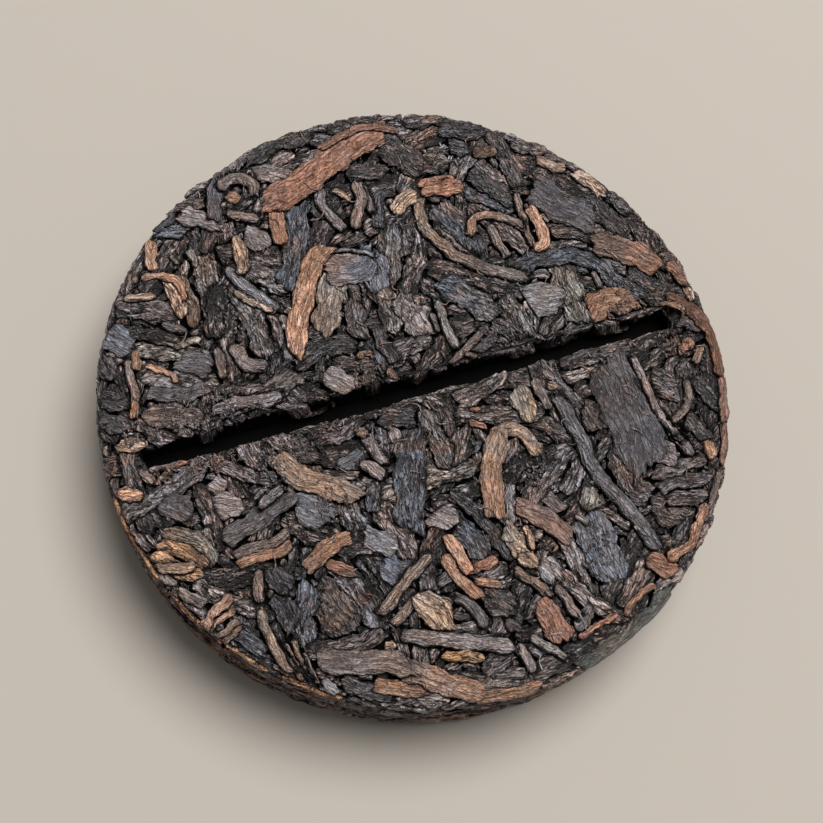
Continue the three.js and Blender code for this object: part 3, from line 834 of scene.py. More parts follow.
# The golden buds and pale scraps.
# Leaf tips and torn stalk skin that dried ochre. They are thin and dry, and the press left
# them split along their length. Four thin ones line the edge at the lower left of the view.
OCHRE = (0.334, 0.232, 0.17)
PALE_OCHRE = (0.315, 0.228, 0.169)
BAR_OCHRE = (0.274, 0.17, 0.0946)
FAN_OCHRE = (0.277, 0.17, 0.105)
EDGE_OCHRE = (0.264, 0.146, 0.0792)
OLIVE = (0.206, 0.186, 0.166)
BUD = dict(thickness=0.32, ridge_every=0.45, ridge=0.09, twist=0.04, ragged=0.12, crumple=0.12,
           depth=0.04, tips=(0.5, 0.35))
BUDS = [
    (1.1, OCHRE, [(-10.8, 15.9), (-10.6, 14.5), (-11.2, 12.4)]),
    (0.6, PALE_OCHRE, [(-12.1, 11.1), (-10.6, 9.6), (-9.4, 8.9)]),
    (1.2, OCHRE, [(-16.7, 13.9), (-16.4, 9.9)]),
    (1.2, TAN, [(-15.9, 13.5), (-15.5, 11), (-15.8, 8.9)]),
    (0.6, OCHRE, [(-20.4, 12.7), (-18, 12.1)]),
    (0.6, OLIVE, [(-14.7, 15.6), (-14.4, 13.9)]),
    (0.4, OLIVE, [(-16.1, 15.4), (-15.6, 14.6)]),
    (0.5, PALE_OCHRE, [(-2.1, 18.2), (-0.8, 16.8)]),
    (1.5, OCHRE, [(2.3, 14.9), (3.1, 15.6), (4.6, 16.2)]),
    (0.8, BAR_OCHRE, [(-4.7, -20.5), (-3, -21.1), (-1.7, -21.5)]),
    (1.2, FAN_OCHRE, [(-22.9, -7.8), (-21.2, -9.5), (-19.9, -10.6)]),
    (1.2, (FAN_OCHRE, TAN), [(-22.3, -7.2), (-20.6, -8.4), (-19.3, -9.9)]),
    (1.5, (TAN, OLIVE), [(-21.9, -6.6), (-20.2, -7.4), (-19.1, -8.4), (-18.9, -9.8)]),
    (0.5, EDGE_OCHRE, [(-25.15, -2.8), (-24.65, -5.8), (-23.2, -10.1)]),
    (0.4, EDGE_OCHRE, [(-22.9, -10.9), (-21.9, -12.8), (-20.8, -14.6)]),
    (0.5, EDGE_OCHRE, [(-20.4, -15.1), (-18.7, -17.1), (-17.2, -18.6)]),
    (0.5, EDGE_OCHRE, [(-16.8, -19.0), (-14.9, -20.5), (-12.6, -22.0)]),
    (2.2, (PALE_OCHRE, OCHRE), [(-5.3, -15.9), (-4.3, -17.2), (-3.4, -18.9)]),
    (1.2, PALE_OCHRE, [(3.2, -15.0), (4.2, -16.2)]),
    (0.6, OCHRE, [(4.3, -12.9), (4.2, -14.9)]),
    (1.6, (OLIVE, PALE_OCHRE), [(2.7, -12.6), (3.4, -14.2), (4.0, -15.4)]),
    (1.9, (OLIVE, PALE_OCHRE), [(7.2, -2.2), (7.6, -5.0)]),
    (0.7, OCHRE, [(23.6, 3.7), (23.8, 1.4)]),
    (0.6, OLIVE, [(-17.6, 7.6), (-15.4, 7.9)]),
    (1.8, PINK_BROWN, [(-21.2, 2.5), (-19, 2.1), (-16.9, 1.4)]),
    (1.2, OCHRE, [(-23.4, 1.1), (-21.4, 0.2)]),
    (1.2, OCHRE, [(18.0, 15.1), (19.1, 14), (20.1, 12.4)]),
    (1.1, TAN, [(10.4, 19.1), (12.3, 18.3)]),
    (0.8, OCHRE, [(9.6, -2.6), (10.4, -2.9)]),
    (0.7, OCHRE, [(-8.5, -18.8), (-7.7, -19.0)]),
    (0.6, TAN, [(4.1, 1.6), (5.1, 1.0)]),
    (0.7, TAN, [(-2.2, 1.9), (-1.7, 0.7)]),
    (0.5, OCHRE, [(-4.2, 3.5), (-2.9, 3.4)]),
    (0.6, OLIVE, [(8.3, -13.2), (9.1, -14.1)]),
    (1.5, OLIVE, [(10.1, -11.4), (9.4, -13.1)]),
]
golden_buds = Heap("golden_buds", 0.1)
lay_measured(golden_buds, top_skin, BUDS, BUD)
bud_skin = leaf_material("golden_bud_skin", streaks=0.38, cracks=0.75, bloom_and_sheen=0.05, wrinkle=0.00035,
                         gloss=0.3)
fasten(golden_buds, bud_skin)

# The twisted stalks.
# Thin stems and rolled-up leaves, round and wiry. They lie in bends on top of the broad leaves.
STEM_BROWN = (0.16, 0.114, 0.0998)
GREY_BROWN = (0.168, 0.139, 0.134)
LIGHT_GREY = (0.176, 0.164, 0.169)
TWIG_GREY = (0.0894, 0.0807, 0.0832)
# Blue-grey: the leaf's own dark grey with a painted bluish reflection in it.
BLUE_GREY = (0.0991, 0.103, 0.123)
DARK = (0.0833, 0.0709, 0.0724)
MAUVE = (0.169, 0.136, 0.133)
STALK = dict(thickness=0.45, ridge_every=0.4, ridge=0.07, twist=0.05, ragged=0.1, edge=0.36, sharp=3,
             depth=0.02, crumple=0.1, slant=0.3)
STALKS = [
    (1.1, (TAN, PINK_BROWN), [(5.4, 17.2), (4.2, 14.2), (5.4, 11.2), (7.1, 9.1), (11.3, 6.7)]),
    (0.6, GREY_BROWN, [(5.1, 13.1), (6.3, 11), (7.8, 9.2)]),
    (0.35, LIGHT_GREY, [(-3.7, 13.1), (-2.0, 12.4), (-0.3, 11.6)]),
    (0.8, (SALMON, TAN), [(7.7, 11.5), (8.5, 12.9), (10.5, 12.7), (12.4, 11.3)]),
    (0.8, GREY_BROWN, [(9.5, 12.1), (10, 9.9), (10.3, 8.9)]),
    (0.7, TAN, [(12.8, 14.6), (12.6, 12), (12.5, 9.3)]),
    (1.2, TWIG_GREY, [(10.2, -3.5), (10.7, -7), (11, -10), (12.5, -14), (13.8, -17.4)]),
    (1.0, LIGHT_GREY, [(-12.2, 13.3), (-10.8, 11.2), (-9.1, 8.7)]),
    (0.9, MAUVE, [(-3.1, 18.7), (-3.2, 17), (-2.0, 14.4)]),
    (1.0, STEM_BROWN, [(0.1, 18.6), (-0.2, 16.5), (-1.2, 14.3)]),
    (0.8, MAUVE, [(0.5, 18.1), (0.4, 15.4)]),
    (0.9, TAN, [(-8.1, -16.6), (-5.5, -14.5), (-3.2, -13.3)]),
    (0.8, TAN, [(-7.6, -17.4), (-5, -16.2), (-2.7, -17.1)]),
    (0.9, DARK, [(-2.7, -16.4), (-1.5, -17.8), (-0.9, -19.5)]),
    (1.2, GREY_BROWN, [(-7.2, -18.4), (-4.5, -19.3), (-1, -20.8), (0.7, -21.4)]),
    (0.7, STEM_BROWN, [(-21.2, 7.6), (-21.3, 5), (-21.6, 2.9)]),
    (0.8, PINK_BROWN, [(-14.6, 6.9), (-14.5, 4.2)]),
    (1.2, MAUVE, [(-13.4, 6.7), (-12.5, 5), (-11.0, 4.6)]),
    (0.8, (TAN, STEM_BROWN), [(-16.4, -13.8), (-16.3, -15.7), (-15.8, -17.5), (-15.5, -19.0)]),
    (0.5, TAN, [(-15.9, -16.4), (-15.3, -18.2), (-15.0, -19.8)]),
    (0.5, STEM_BROWN, [(-15.4, -16.6), (-14.9, -18.2), (-14.6, -20.0)]),
    (0.5, (TAN, STEM_BROWN), [(-14.8, -16.5), (-14.5, -18.0), (-14.3, -19.9)]),
    (0.4, TAN, [(-14.2, -17.6), (-14.0, -19.0), (-13.9, -20.3)]),
    (0.5, STEM_BROWN, [(-16.6, -18.0), (-15.6, -19.6), (-14.9, -20.6)]),
    (0.8, STEM_BROWN, [(-15.8, -10.9), (-16.2, -13.4)]),
    (0.8, LIGHT_GREY, [(3.5, 6.6), (3.3, 4.5), (3.8, 2.2)]),
    (0.6, GREY_BROWN, [(2.7, 5.6), (2.6, 3.9)]),
    (0.7, STEM_BROWN, [(2.7, 0.9), (4.5, 2), (6.4, 3.5)]),
    (0.8, OLIVE, [(-18.8, -6.9), (-18.6, -9.1)]),
    (0.8, TAN, [(23.0, -2.4), (21.9, -3.8)]),
    (0.7, PINK_BROWN, [(20.8, -4.9), (20, -7), (18.4, -8.1)]),
    (0.7, MAUVE, [(17.2, -1.9), (17.5, -6), (18.3, -9.2)]),
    (0.6, PINK_BROWN, [(17.0, -4.1), (18.1, -7.0), (18.7, -9.7)]),
    (1.0, MAUVE, [(18, -7.9), (18.9, -11)]),
    (0.8, STEM_BROWN, [(5, -17.9), (6.1, -20.6)]),
    (0.8, TAN, [(2.4, -15.9), (4.6, -18.6)]),
    (0.8, GREY_BROWN, [(1.0, -21.2), (1.3, -23.6)]),
    (0.7, OLIVE, [(1.9, -21.0), (4.2, -23.2)]),
    (0.9, STEM_BROWN, [(-11, 18.1), (-9.3, 17.4), (-8.5, 17.0)]),
    (1.1, STEM_BROWN, [(-11.0, 20.4), (-9.7, 21.2), (-8.4, 20.5), (-8.3, 19.2)]),
    (1.1, MAUVE, [(-6.1, -4.9), (-4.9, -6.6)]),
    (1.0, GREY_BROWN, [(-5.6, -2.9), (-4.4, -5.6)]),
    (0.7, DARK, [(-18.1, 9.8), (-16.4, 8.6)]),
    (1.1, GREY_BROWN, [(-16.1, 1.9), (-13, 1.9), (-10.6, 1.7)]),
    (1.9, DARK, [(21.9, 0.4), (22.9, 0.1), (23.7, -0.9)]),
    (0.5, GREY_BROWN, [(16.7, 6.0), (16.7, 4.4)]),
    (0.8, MAUVE, [(-14.6, -6.3), (-12.4, -5.4)]),
]
twisted_stalks = Heap("twisted_stalks", 0.1)
lay_measured(twisted_stalks, top_skin, STALKS, STALK)
stalk_skin = leaf_material("twisted_stalk_skin", streaks=0.35, cracks=0.6, bloom_and_sheen=0.3, wrinkle=0.00035,
                           rust=0.4)
fasten(twisted_stalks, stalk_skin)

# The broad leaves.
# Whole leaf blades that the mould pressed flat and smooth, grey to purple-brown, with a thin
# bloom on their higher places: grey dust mixed with a painted bluish sheen.
PURPLE_GREY = (0.0627, 0.0545, 0.0599)
GREEN_GREY = (0.0568, 0.059, 0.0522)
FLAKE = dict(thickness=0.28, ridge_every=1.3, ridge=0.06, twist=0.02, ragged=0.13, crumple=0.12,
             depth=0.05, tips=(0.75, 0.6))
BROAD_LEAVES = [
    (4.4, PURPLE_GREY, [(14.9, -1.9), (15.3, -6), (15.1, -11.2)]),
    (3.0, LIGHT_GREY, [(10.4, 4.9), (13.3, 4.1)]),
    (2.6, GREY_BROWN, [(0.6, 7.5), (1.9, 4.0)]),
    (3.0, (STEM_BROWN, BLUE_GREY), [(-4.7, 11.6), (-2.4, 10.9), (-0.5, 11.6)]),
    (2.0, BLUE_GREY, [(-1.4, 12.6), (-0.6, 10.6), (-0.9, 8.4)]),
    (2.2, (OLIVE, TAN), [(-3.9, 11.4), (-4.9, 8.6), (-6.4, 6.0)]),
    (2.0, GREY_BROWN, [(-7.1, 2.6), (-5.1, 0.9)]),
    (3.0, PURPLE_GREY, [(14.2, 14.6), (16, 12.4), (18.1, 10.2)]),
    (1.3, PURPLE_GREY, [(-10.5, 22.4), (-11.3, 20), (-12.1, 17.6)]),
    (1.8, GREY_BROWN, [(-9.9, 16.1), (-8.5, 14.3)]),
    (1.7, GREY_BROWN, [(-14.6, 18.8), (-11.2, 17.2)]),
    (2.3, BLUE_GREY, [(-22.3, 10.1), (-20.7, 8.3)]),
    (1.2, DARK, [(-20.4, 4.5), (-18, 3.6), (-15.8, 3.9)]),
    (2.0, DARK, [(-17.6, 6.6), (-15.2, 5.2)]),
    (1.6, DARK, [(-17.6, -8.1), (-14.5, -7.2), (-11.9, -5.9)]),
    (2.0, PURPLE_GREY, [(-21.1, -4.1), (-19.4, -5.6)]),
    (1.9, GREY_BROWN, [(-17.6, -5.4), (-15.7, -6.1)]),
    (2.5, BLUE_GREY, [(-12.1, -6.9), (-9.4, -8.6)]),
    (1.3, BLUE_GREY, [(-7.9, -5.0), (-5.9, -4.3)]),
    (1.9, LIGHT_GREY, [(-7.6, -10.4), (-5.6, -12.1)]),
    (2.2, BLUE_GREY, [(-6.9, -12.9), (-4.9, -14.6)]),
    (2.0, GREY_BROWN, [(-2.1, -10.2), (-0.9, -11.6)]),
    (1.5, LIGHT_GREY, [(4.1, -9.4), (2.9, -12.6)]),
    (1.7, LIGHT_GREY, [(4.4, -15.9), (5.6, -17.6)]),
    (1.3, PINK_BROWN, [(6.4, -11.2), (7.6, -12.6)]),
    (1.5, PINK_BROWN, [(9.2, -1.9), (9.2, -4.4)]),
    (3.0, BLUE_GREY, [(9.3, -13.3), (9.2, -16), (9.6, -18.7)]),
    (2.0, GREEN_GREY, [(5.1, -24.5), (8.8, -23.4), (11.3, -22.3), (13.7, -20.9)]),
    (1.3, GREY_BROWN, [(12.2, -20.3), (15.1, -19.7)]),
    (2.1, MAUVE, [(15.9, -9.4), (17.6, -10.9)]),
    (1.5, GREY_BROWN, [(-7.9, 21.3), (-4.9, 20.2)]),
    (1.2, GREY_BROWN, [(-22.6, -9.2), (-21.7, -10.5)]),
    (1.2, LIGHT_GREY, [(-13.6, -19.9), (-12.8, -21.4)]),
    (1.1, LIGHT_GREY, [(5.4, -21.4), (7.1, -20.2)]),
    (1.3, PURPLE_GREY, [(4.9, 1.6), (6.9, 2.7)]),
    (1.4, MAUVE, [(-17.4, -3.5), (-16.5, -4.5)]),
    (1.0, MAUVE, [(-3.4, -3.0), (-3.1, -4.0)]),
]
broad_leaves = Heap("broad_leaves", 0.11)
lay_measured(broad_leaves, top_skin, BROAD_LEAVES, FLAKE)
broad_skin = leaf_material("broad_leaf_skin", streaks=0.28, cracks=0.6, bloom_and_sheen=0.45, wrinkle=0.0003,
                           rust=0.25)
fasten(broad_leaves, broad_skin)

# The dark twisted leaves.
# Most of the tea: leaves rolled lengthwise before they were pressed, near black, with sharp
# folds along them. The long ones come first, and the rest fill what is still bare.
NEAR_BLACK = (0.0646, 0.0549, 0.0563)
BROWN_BLACK = (0.106, 0.0774, 0.0697)
TWIST = dict(thickness=0.4, ridge_every=0.45, ridge=0.25, twist=0.06, ragged=0.13, crumple=0.22,
             depth=0.05)
LONG_LEAVES = [
    (1.9, BLUE_GREY, [(-5, 17.6), (-6.3, 14), (-7.9, 10.4)]),
    (1.4, PURPLE_GREY, [(-5.2, 17.4), (-5.4, 14.7)]),
    (1.2, DARK, [(-3.9, 17.9), (-3.4, 15.9)]),
    (1.4, DARK, [(-0.5, 19.7), (2.7, 18.7)]),
    (1.8, DARK, [(-8.1, 22.5), (-5, 23.7), (-2.4, 23.5)]),
    (1.4, DARK, [(-0.9, 24.0), (3.4, 24.2)]),
    (2.6, NEAR_BLACK, [(2.9, 21.6), (4.4, 20), (5.6, 18.4)]),
    (0.9, BLUE_GREY, [(5.2, 18.5), (7.1, 18.0)]),
    (1.1, BLUE_GREY, [(3.1, 17), (1.2, 16.5), (0.7, 13.9)]),
    (1.8, (LIGHT_GREY, GREY_BROWN), [(1.5, 14.1), (0.8, 11), (0.2, 9.2)]),
    (1.5, GREY_BROWN, [(2.6, 13.9), (1.9, 10.9)]),
    (2.8, BLUE_GREY, [(6.0, 14.8), (7.0, 12), (7.7, 8.9)]),
    (2.2, PURPLE_GREY, [(8.4, 21.9), (12.2, 21.1)]),
    (1.6, DARK, [(8.6, 20.1), (10.1, 19.4)]),
    (1.4, DARK, [(12.4, 20.6), (13, 17.5), (13, 14.9)]),
    (1.6, NEAR_BLACK, [(9.4, 17.1), (12.6, 13.4)]),
    (1.3, BLUE_GREY, [(8.7, 15.6), (12.1, 12.9)]),
    (1.4, GREY_BROWN, [(13.9, 19.1), (16.6, 17.7)]),
    (1.3, DARK, [(20.4, 12.6), (21.6, 10.4)]),
    (1.3, BROWN_BLACK, [(14.4, 10.6), (17, 9.4), (20.2, 7.9)]),
    (1.9, NEAR_BLACK, [(18.4, 12.7), (20.6, 8.3)]),
    (1.6, DARK, [(22.1, 6.1), (23.7, 4.5)]),
    (1.5, BLUE_GREY, [(9.4, 7.6), (13, 8.1), (15, 7.8), (17, 6.8), (18, 5), (19.8, 2.7)]),
    (2.5, OLIVE, [(14.1, 7.3), (14.2, 1.9)]),
    (2.2, NEAR_BLACK, [(19.7, 5.4), (21, 3), (23.6, 1.9)]),
    (2.5, GREY_BROWN, [(18.2, -4.3), (18.9, -5.0), (19.6, -5.7)]),
    (1.1, NEAR_BLACK, [(21.4, -4.9), (22.4, -8.1)]),
    (2.0, BROWN_BLACK, [(12, -4.9), (12.8, -7.1)]),
    (1.6, GREY_BROWN, [(-3, 8.1), (-3.5, 6), (-3.1, 4.9)]),
    (1.7, DARK, [(-8.9, 4.2), (-6.2, 4.9), (-3.9, 4.4)]),
    (2.3, (BLUE_GREY, LIGHT_GREY), [(4.1, 8.1), (6, 6), (7.8, 4.2)]),
    (1.4, DARK, [(7, 3.6), (8.4, 2.4)]),
    (1.1, DARK, [(-2.0, 5.6), (-1.5, 2.2)]),
    (1.1, BLUE_GREY, [(-2.7, 4.1), (-2.3, 1.7)]),
    (1.6, PURPLE_GREY, [(-3.9, -1.9), (-1.2, -2.6)]),
    (2.4, BLUE_GREY, [(-1.3, -3.4), (-2.5, -5.5), (-3.5, -8.5), (-4, -11.1)]),
    (1.7, LIGHT_GREY, [(-0.3, -2.2), (-0.2, -5), (0.3, -6.9)]),
    (1.0, BROWN_BLACK, [(1, -2.2), (1.2, -4.6)]),
    (1.9, GREY_BROWN, [(2, -4.1), (0.7, -7.0)]),
    (1.3, BLUE_GREY, [(1.8, -5.5), (2.8, -6.3)]),
    (1.6, DARK, [(-23.6, 8.1), (-22.4, 6.4)]),
    (1.7, NEAR_BLACK, [(-24.1, 5.1), (-21.9, 3.9)]),
    (1.5, NEAR_BLACK, [(-24.3, 3.4), (-22.4, 1.9)]),
    (1.8, GREY_BROWN, [(-16.3, 1.9), (-12.5, 2.2), (-8.8, 3.2)]),
    (1.2, PURPLE_GREY, [(-15.6, 3.1), (-12, 2.9), (-9.1, 4.1)]),
    (1.0, GREY_BROWN, [(-13.9, 21.3), (-11.8, 21.1)]),
    (1.0, BROWN_BLACK, [(-15.1, 19.8), (-12.4, 19.3)]),
    (1.4, BLUE_GREY, [(-17.1, 18.3), (-14.9, 19.0)]),
    (1.5, BLUE_GREY, [(-16.9, 18), (-14.4, 17.2)]),
    (1.2, PURPLE_GREY, [(-12.3, 17.1), (-13.4, 15.0)]),
    (1.6, PURPLE_GREY, [(-15, -11.1), (-14, -13.1)]),
    (1.6, PURPLE_GREY, [(-14.9, -12.9), (-14.5, -15.9)]),
    (1.8, BLUE_GREY, [(-12.5, -12.9), (-13.5, -15), (-13.8, -17.2)]),
    (2.9, BROWN_BLACK, [(-12, -13.4), (-10.5, -17.1)]),
    (1.3, BLUE_GREY, [(-18.6, -14.9), (-16.9, -17.1)]),
    (1.6, BLUE_GREY, [(-18.4, -15.9), (-17.3, -17.6), (-16.2, -18.9)]),
    (1.4, DARK, [(-12.1, -20.4), (-8.9, -22.6)]),
    (2.0, BLUE_GREY, [(-0.5, -11.4), (0.6, -14.6)]),
    (1.1, NEAR_BLACK, [(-0.4, -8.9), (1, -11), (2, -13.5), (2.7, -15.1)]),
    (2.0, DARK, [(-0.3, -16.9), (1.4, -18.9)]),
    (1.7, NEAR_BLACK, [(0.9, -19.1), (1.8, -19.9)]),
    (1.4, GREY_BROWN, [(-2.1, -22.5), (0.9, -21.5)]),
    (2.5, MAUVE, [(13.8, -8.9), (13.3, -12), (14.6, -13.1)]),
    (1.2, GREY_BROWN, [(15.2, -11.7), (19.9, -11.5)]),
    (1.2, MAUVE, [(15.2, -12.8), (19.7, -12.9)]),
    (1.2, GREY_BROWN, [(15.6, -14.0), (19.0, -14.2)]),
    (2.5, BROWN_BLACK, [(14.4, -13.9), (16.6, -15.6)]),
    (1.5, DARK, [(19.6, -7.9), (20.6, -10.1)]),
    (1.0, BLUE_GREY, [(-5.6, -6.8), (-6.6, -9.0)]),
]


def arc_path(reach, angle, length, lean, bow):
    """A path along the rim, a little askew."""
    places = []
    for share in (-0.5, -0.17, 0.17, 0.5):
        out = reach + lean * share * length + bow * (0.25 - share * share) * 2
        around = angle + share * length / reach
        places.append((out * math.cos(around), out * math.sin(around)))
    return places


def free_path(x, y, heading, length, bow):
    forward = np.array([math.cos(heading), math.sin(heading)])
    aside = np.array([-forward[1], forward[0]])
    middle = np.array([x, y])
    ends = [middle - forward * length / 2, middle + aside * bow, middle + forward * length / 2]
    return [tuple(place) for place in ends]


def drift(x, y):
    """The heading of the leaves about a place: neighbours tend to lie the same way."""
    return 1.9 * math.sin(0.19 * x + 0.11 * y + 0.8) + 1.5 * math.cos(0.16 * y - 0.09 * x)


# A leaf of the filling is lighter and browner than a measured one of the same tint.
FILL_BASE = np.array((0.104, 0.087, 0.083))
FILL_SHARE = 0.95
TRIES = 7
RIM_START = 22.6
LEAST_BARE = 40
LENGTH_SPREAD = (0.7, 1.35)
WIDTH_SPREAD = (0.75, 1.3)
DEPTHS = (0.03, 0.3)
START_TIPS = (0.3, 0.8)
END_TIPS = (0.3, 0.7)
TILTS = (-0.14, 0.14)
BOW = 0.08
RIM_LEAN = 0.17
HEADING_SPREAD = 0.42
TINT_CHANGE = 0.55


def one_of(tints):
    return tints[random.integers(len(tints))]


def fill(heaps, skin, inner, outer, count, length, width, tints, form, least_shown=0.3):
    """Lays leaves of one size where the skin is still bare, each in the best of a few places."""
    ring = (skin.reach >= inner) & (skin.reach <= outer)
    for number in range(count):
        bare = np.flatnonzero(ring & ~skin.covered)
        if len(bare) < LEAST_BARE:
            break
        best, best_shown = None, 0
        for _ in range(TRIES):
            row, column = divmod(int(bare[random.integers(len(bare))]), skin.covered.shape[1])
            x, y = column * CELL - skin.half, row * CELL - skin.half
            long = length * random.uniform(*LENGTH_SPREAD)
            wide = width * random.uniform(*WIDTH_SPREAD)
            reach = math.hypot(x, y)
            bow = random.normal(0, BOW) * long
            if reach > RIM_START:
                path = arc_path(reach, math.atan2(y, x), long, random.normal(0, RIM_LEAN), bow)
            else:
                path = free_path(x, y, drift(x, y) + random.normal(0, HEADING_SPREAD), long, bow)
            line = np.array(smooth_path(path)[0][4:-4:4])
            over = skin.shown(line[:, 0], line[:, 1])
            if over > best_shown:
                best, best_shown, best_width = path, over, wide
        if best is None:
            continue
        first, second = FILL_BASE + FILL_SHARE * np.array(tints)[random.integers(len(tints), size=2)]
        tint = (first, first + TINT_CHANGE * (second - first))
        own = {**form, "depth": random.uniform(*DEPTHS)}
        own["tips"] = (random.uniform(*START_TIPS), random.uniform(*END_TIPS))
        own["tilt"] = random.uniform(*TILTS)
        heaps[number % len(heaps)].lay(skin, Leaf(best, best_width, **own), tint, least_shown)


FILL_TINTS = [DARK, NEAR_BLACK, BROWN_BLACK, BLUE_GREY, PURPLE_GREY, GREY_BROWN, DARK, NEAR_BLACK,
              BROWN_BLACK, GREY_BROWN, BLUE_GREY, DARK, MAUVE, STEM_BROWN, LIGHT_GREY, OLIVE, RIM_RED]
TOP_EDGE = EDGE_REACH + 0.5
LUMP = dict(thickness=0.36, ridge_every=0.4, ridge=0.2, twist=0.1, ragged=0.16, crumple=0.24)
dark_leaves = Heap("dark_leaves", 0.085)
lay_measured(dark_leaves, top_skin, LONG_LEAVES, TWIST)
leaf_fill = [Heap("pressed_leaves_%d" % number, 0.105) for number in (1, 2)]
fill(leaf_fill, top_skin, 0, EDGE_REACH - 1.2, 170, 7.2, 1.6, FILL_TINTS, TWIST, 0.35)
fill(leaf_fill, top_skin, 0, EDGE_REACH + 1.3, 340, 3.8, 1.0, FILL_TINTS, TWIST, 0.3)
fill(leaf_fill, top_skin, 0, TOP_EDGE, 420, 1.9, 0.8, FILL_TINTS, LUMP, 0.3)
fill(leaf_fill, top_skin, 0, TOP_EDGE, 400, 1.0, 0.6, FILL_TINTS, LUMP, 0.3)
dark_skin = leaf_material("dark_leaf_skin", streaks=0.4, cracks=0.9, bloom_and_sheen=0.6, wrinkle=0.0005, rust=0.8)
for heap in (dark_leaves, *leaf_fill):
    fasten(heap, dark_skin)

# The torn fibres and the crumbs.
# Hair-thin threads of torn leaf that lie over the others or hang into the groove, and the
# broken leaf that fills the crevices and thickens to a grainy crust beside the groove.
FIBRE = dict(thickness=0.1, ridge_every=9, ridge=0, twist=0, ragged=0.1, edge=0.03, sharp=2, depth=0,
             crumple=0.02, slant=0.1, tips=(0.5, 0.3), wander=0.25, loose=True)
FIBRE_TINTS = [TAN, STEM_BROWN, GREY_BROWN, MAUVE, BROWN_BLACK]
FIBRES = 150
FIBRE_LENGTHS = (0.5, 1.7)
FIBRE_WIDTHS = (0.08, 0.13)
FIBRE_BOW = 0.12
LIP_FIBRES = 50
LIP_FIBRE_LENGTHS = (0.5, 1.1)
LIP_HALF_LENGTH = 21
LIP_BAND = (0.9, 1.9)
CRUMBS = 1500
CRUMB_SIZES = (0.14, 0.36)
CLUSTER_SIZES = (0.16, 0.46)
CLUSTER_SHADES = (0.45, 1.1)
CRUMB_SIDES = 6
CRUMB_RINGS = 4
CRUMB_LUMPS = (0.6, 1.4)
CRUMB_STRETCH = (0.6, 1.7)
CRUMB_SHADES = (0.75, 1.25)
CRUMB_SINK = 0.08
CRUMB_RISE = 0.55
CREVICE = -0.2
CRUMB_CLUSTERS = [
    (65, 1.9, STEM_BROWN, (-21.6, 1.5)),
    (80, 2.4, STEM_BROWN, (-18.0, 1.9)),
    (55, 2.2, GREY_BROWN, (-14.8, 1.7)),
    (40, 1.3, RUST, (-20.3, -1.6)),
    (40, 1.2, RUST, (-17.0, -1.4)),
    (65, 1.5, PINK_BROWN, (-13.6, -3.4)),
    (50, 1.6, BROWN_BLACK, (-10.2, -1.6)),
    (65, 1.8, GREY_BROWN, (1.3, 6.6)),
    (55, 1.6, STEM_BROWN, (-4.0, 1.9)),
    (55, 1.7, GREY_BROWN, (7.4, 2.4)),
    (40, 1.4, GREY_BROWN, (6.3, -9.0)),
    (55, 1.7, GREY_BROWN, (-9.6, -8.0)),
    (50, 1.5, RUST, (17.6, 1.7)),
    (40, 1.4, RUST, (20.8, -2.5)),
    (50, 1.5, MAUVE, (-4.6, -3.3)),
    (55, 1.8, BROWN_BLACK, (8.6, -16.5)),
    (40, 1.6, GREY_BROWN, (-12.0, 8.5)),
]


def scattered(reach):
    """A random place on the upper face, evenly spread."""
    out, around = reach * math.sqrt(random.random()), random.uniform(0, 2 * math.pi)
    return out * math.cos(around), out * math.sin(around)


def drop_crumb(heap, x, y, size, tint):
    """Drops a crumb on what lies there."""
    ring, turn, loops, totals = heap.roll(CRUMB_SIDES, CRUMB_RINGS)
    corners = len(ring)
    around = turn / CRUMB_SIDES * 2 * math.pi + random.uniform(0, math.pi)
    lumpy = 0.5 * size * random.uniform(*CRUMB_LUMPS, corners)
    out = np.sin(math.pi * ring) * lumpy
    stretch = random.uniform(*CRUMB_STRETCH)
    aside, run = out * np.cos(around) / stretch, out * np.sin(around) * stretch
    rest = top_skin.resting(np.array([x]), np.array([y]))
    lift = rest - CRUMB_SINK * size - CRUMB_RISE * np.cos(math.pi * ring) * lumpy
    grain = np.column_stack([aside, run]) + random.uniform(-GRAIN_SHIFT, GRAIN_SHIFT, 2)
    colours = np.tile(np.array(tint) * random.uniform(*CRUMB_SHADES), (corners, 1))
    heap.gather(on_top(x + aside, y + run, lift), grain, np.ones(corners), colours, loops, totals)


top_skin.settle()
torn_fibres = Heap("torn_fibres", 0.2, fewest=1)
for number in range(FIBRES + LIP_FIBRES):
    if number < FIBRES:
        x, y = scattered(FLAT_REACH)
        heading = drift(x, y) + random.normal(0, 0.6)
        long = random.uniform(*FIBRE_LENGTHS)
    else:
        x = random.uniform(-LIP_HALF_LENGTH, LIP_HALF_LENGTH)
        y = random.choice((-1, 1)) * random.uniform(*LIP_BAND)
        heading = math.pi / 2 + random.normal(0, 0.7)
        long = random.uniform(*LIP_FIBRE_LENGTHS)
    thread = free_path(x, y, heading, long, random.normal(0, FIBRE_BOW))
    fibre = Leaf(thread, random.uniform(*FIBRE_WIDTHS), **FIBRE)
    torn_fibres.lay(top_skin, fibre, one_of(FIBRE_TINTS), least_shown=0)
leaf_crumbs = Heap("leaf_crumbs")
for _ in range(CRUMBS):
    x, y = scattered(FLAT_REACH)
    low_enough = top_skin.resting(np.array([x]), np.array([y]))[0] < CREVICE
    if low_enough and abs(y) > LOOSE_NEAREST:
        drop_crumb(leaf_crumbs, x, y, random.uniform(*CRUMB_SIZES), one_of(FILL_TINTS))
for count, spread, tint, (middle_x, middle_y) in CRUMB_CLUSTERS:
    for _ in range(count):
        x, y = random.normal(middle_x, spread / 2), random.normal(middle_y, spread / 2)
        shaded = np.array(tint) * random.uniform(*CLUSTER_SHADES)
        if abs(y) > LOOSE_NEAREST:
            drop_crumb(leaf_crumbs, x, y, random.uniform(*CLUSTER_SIZES), shaded)
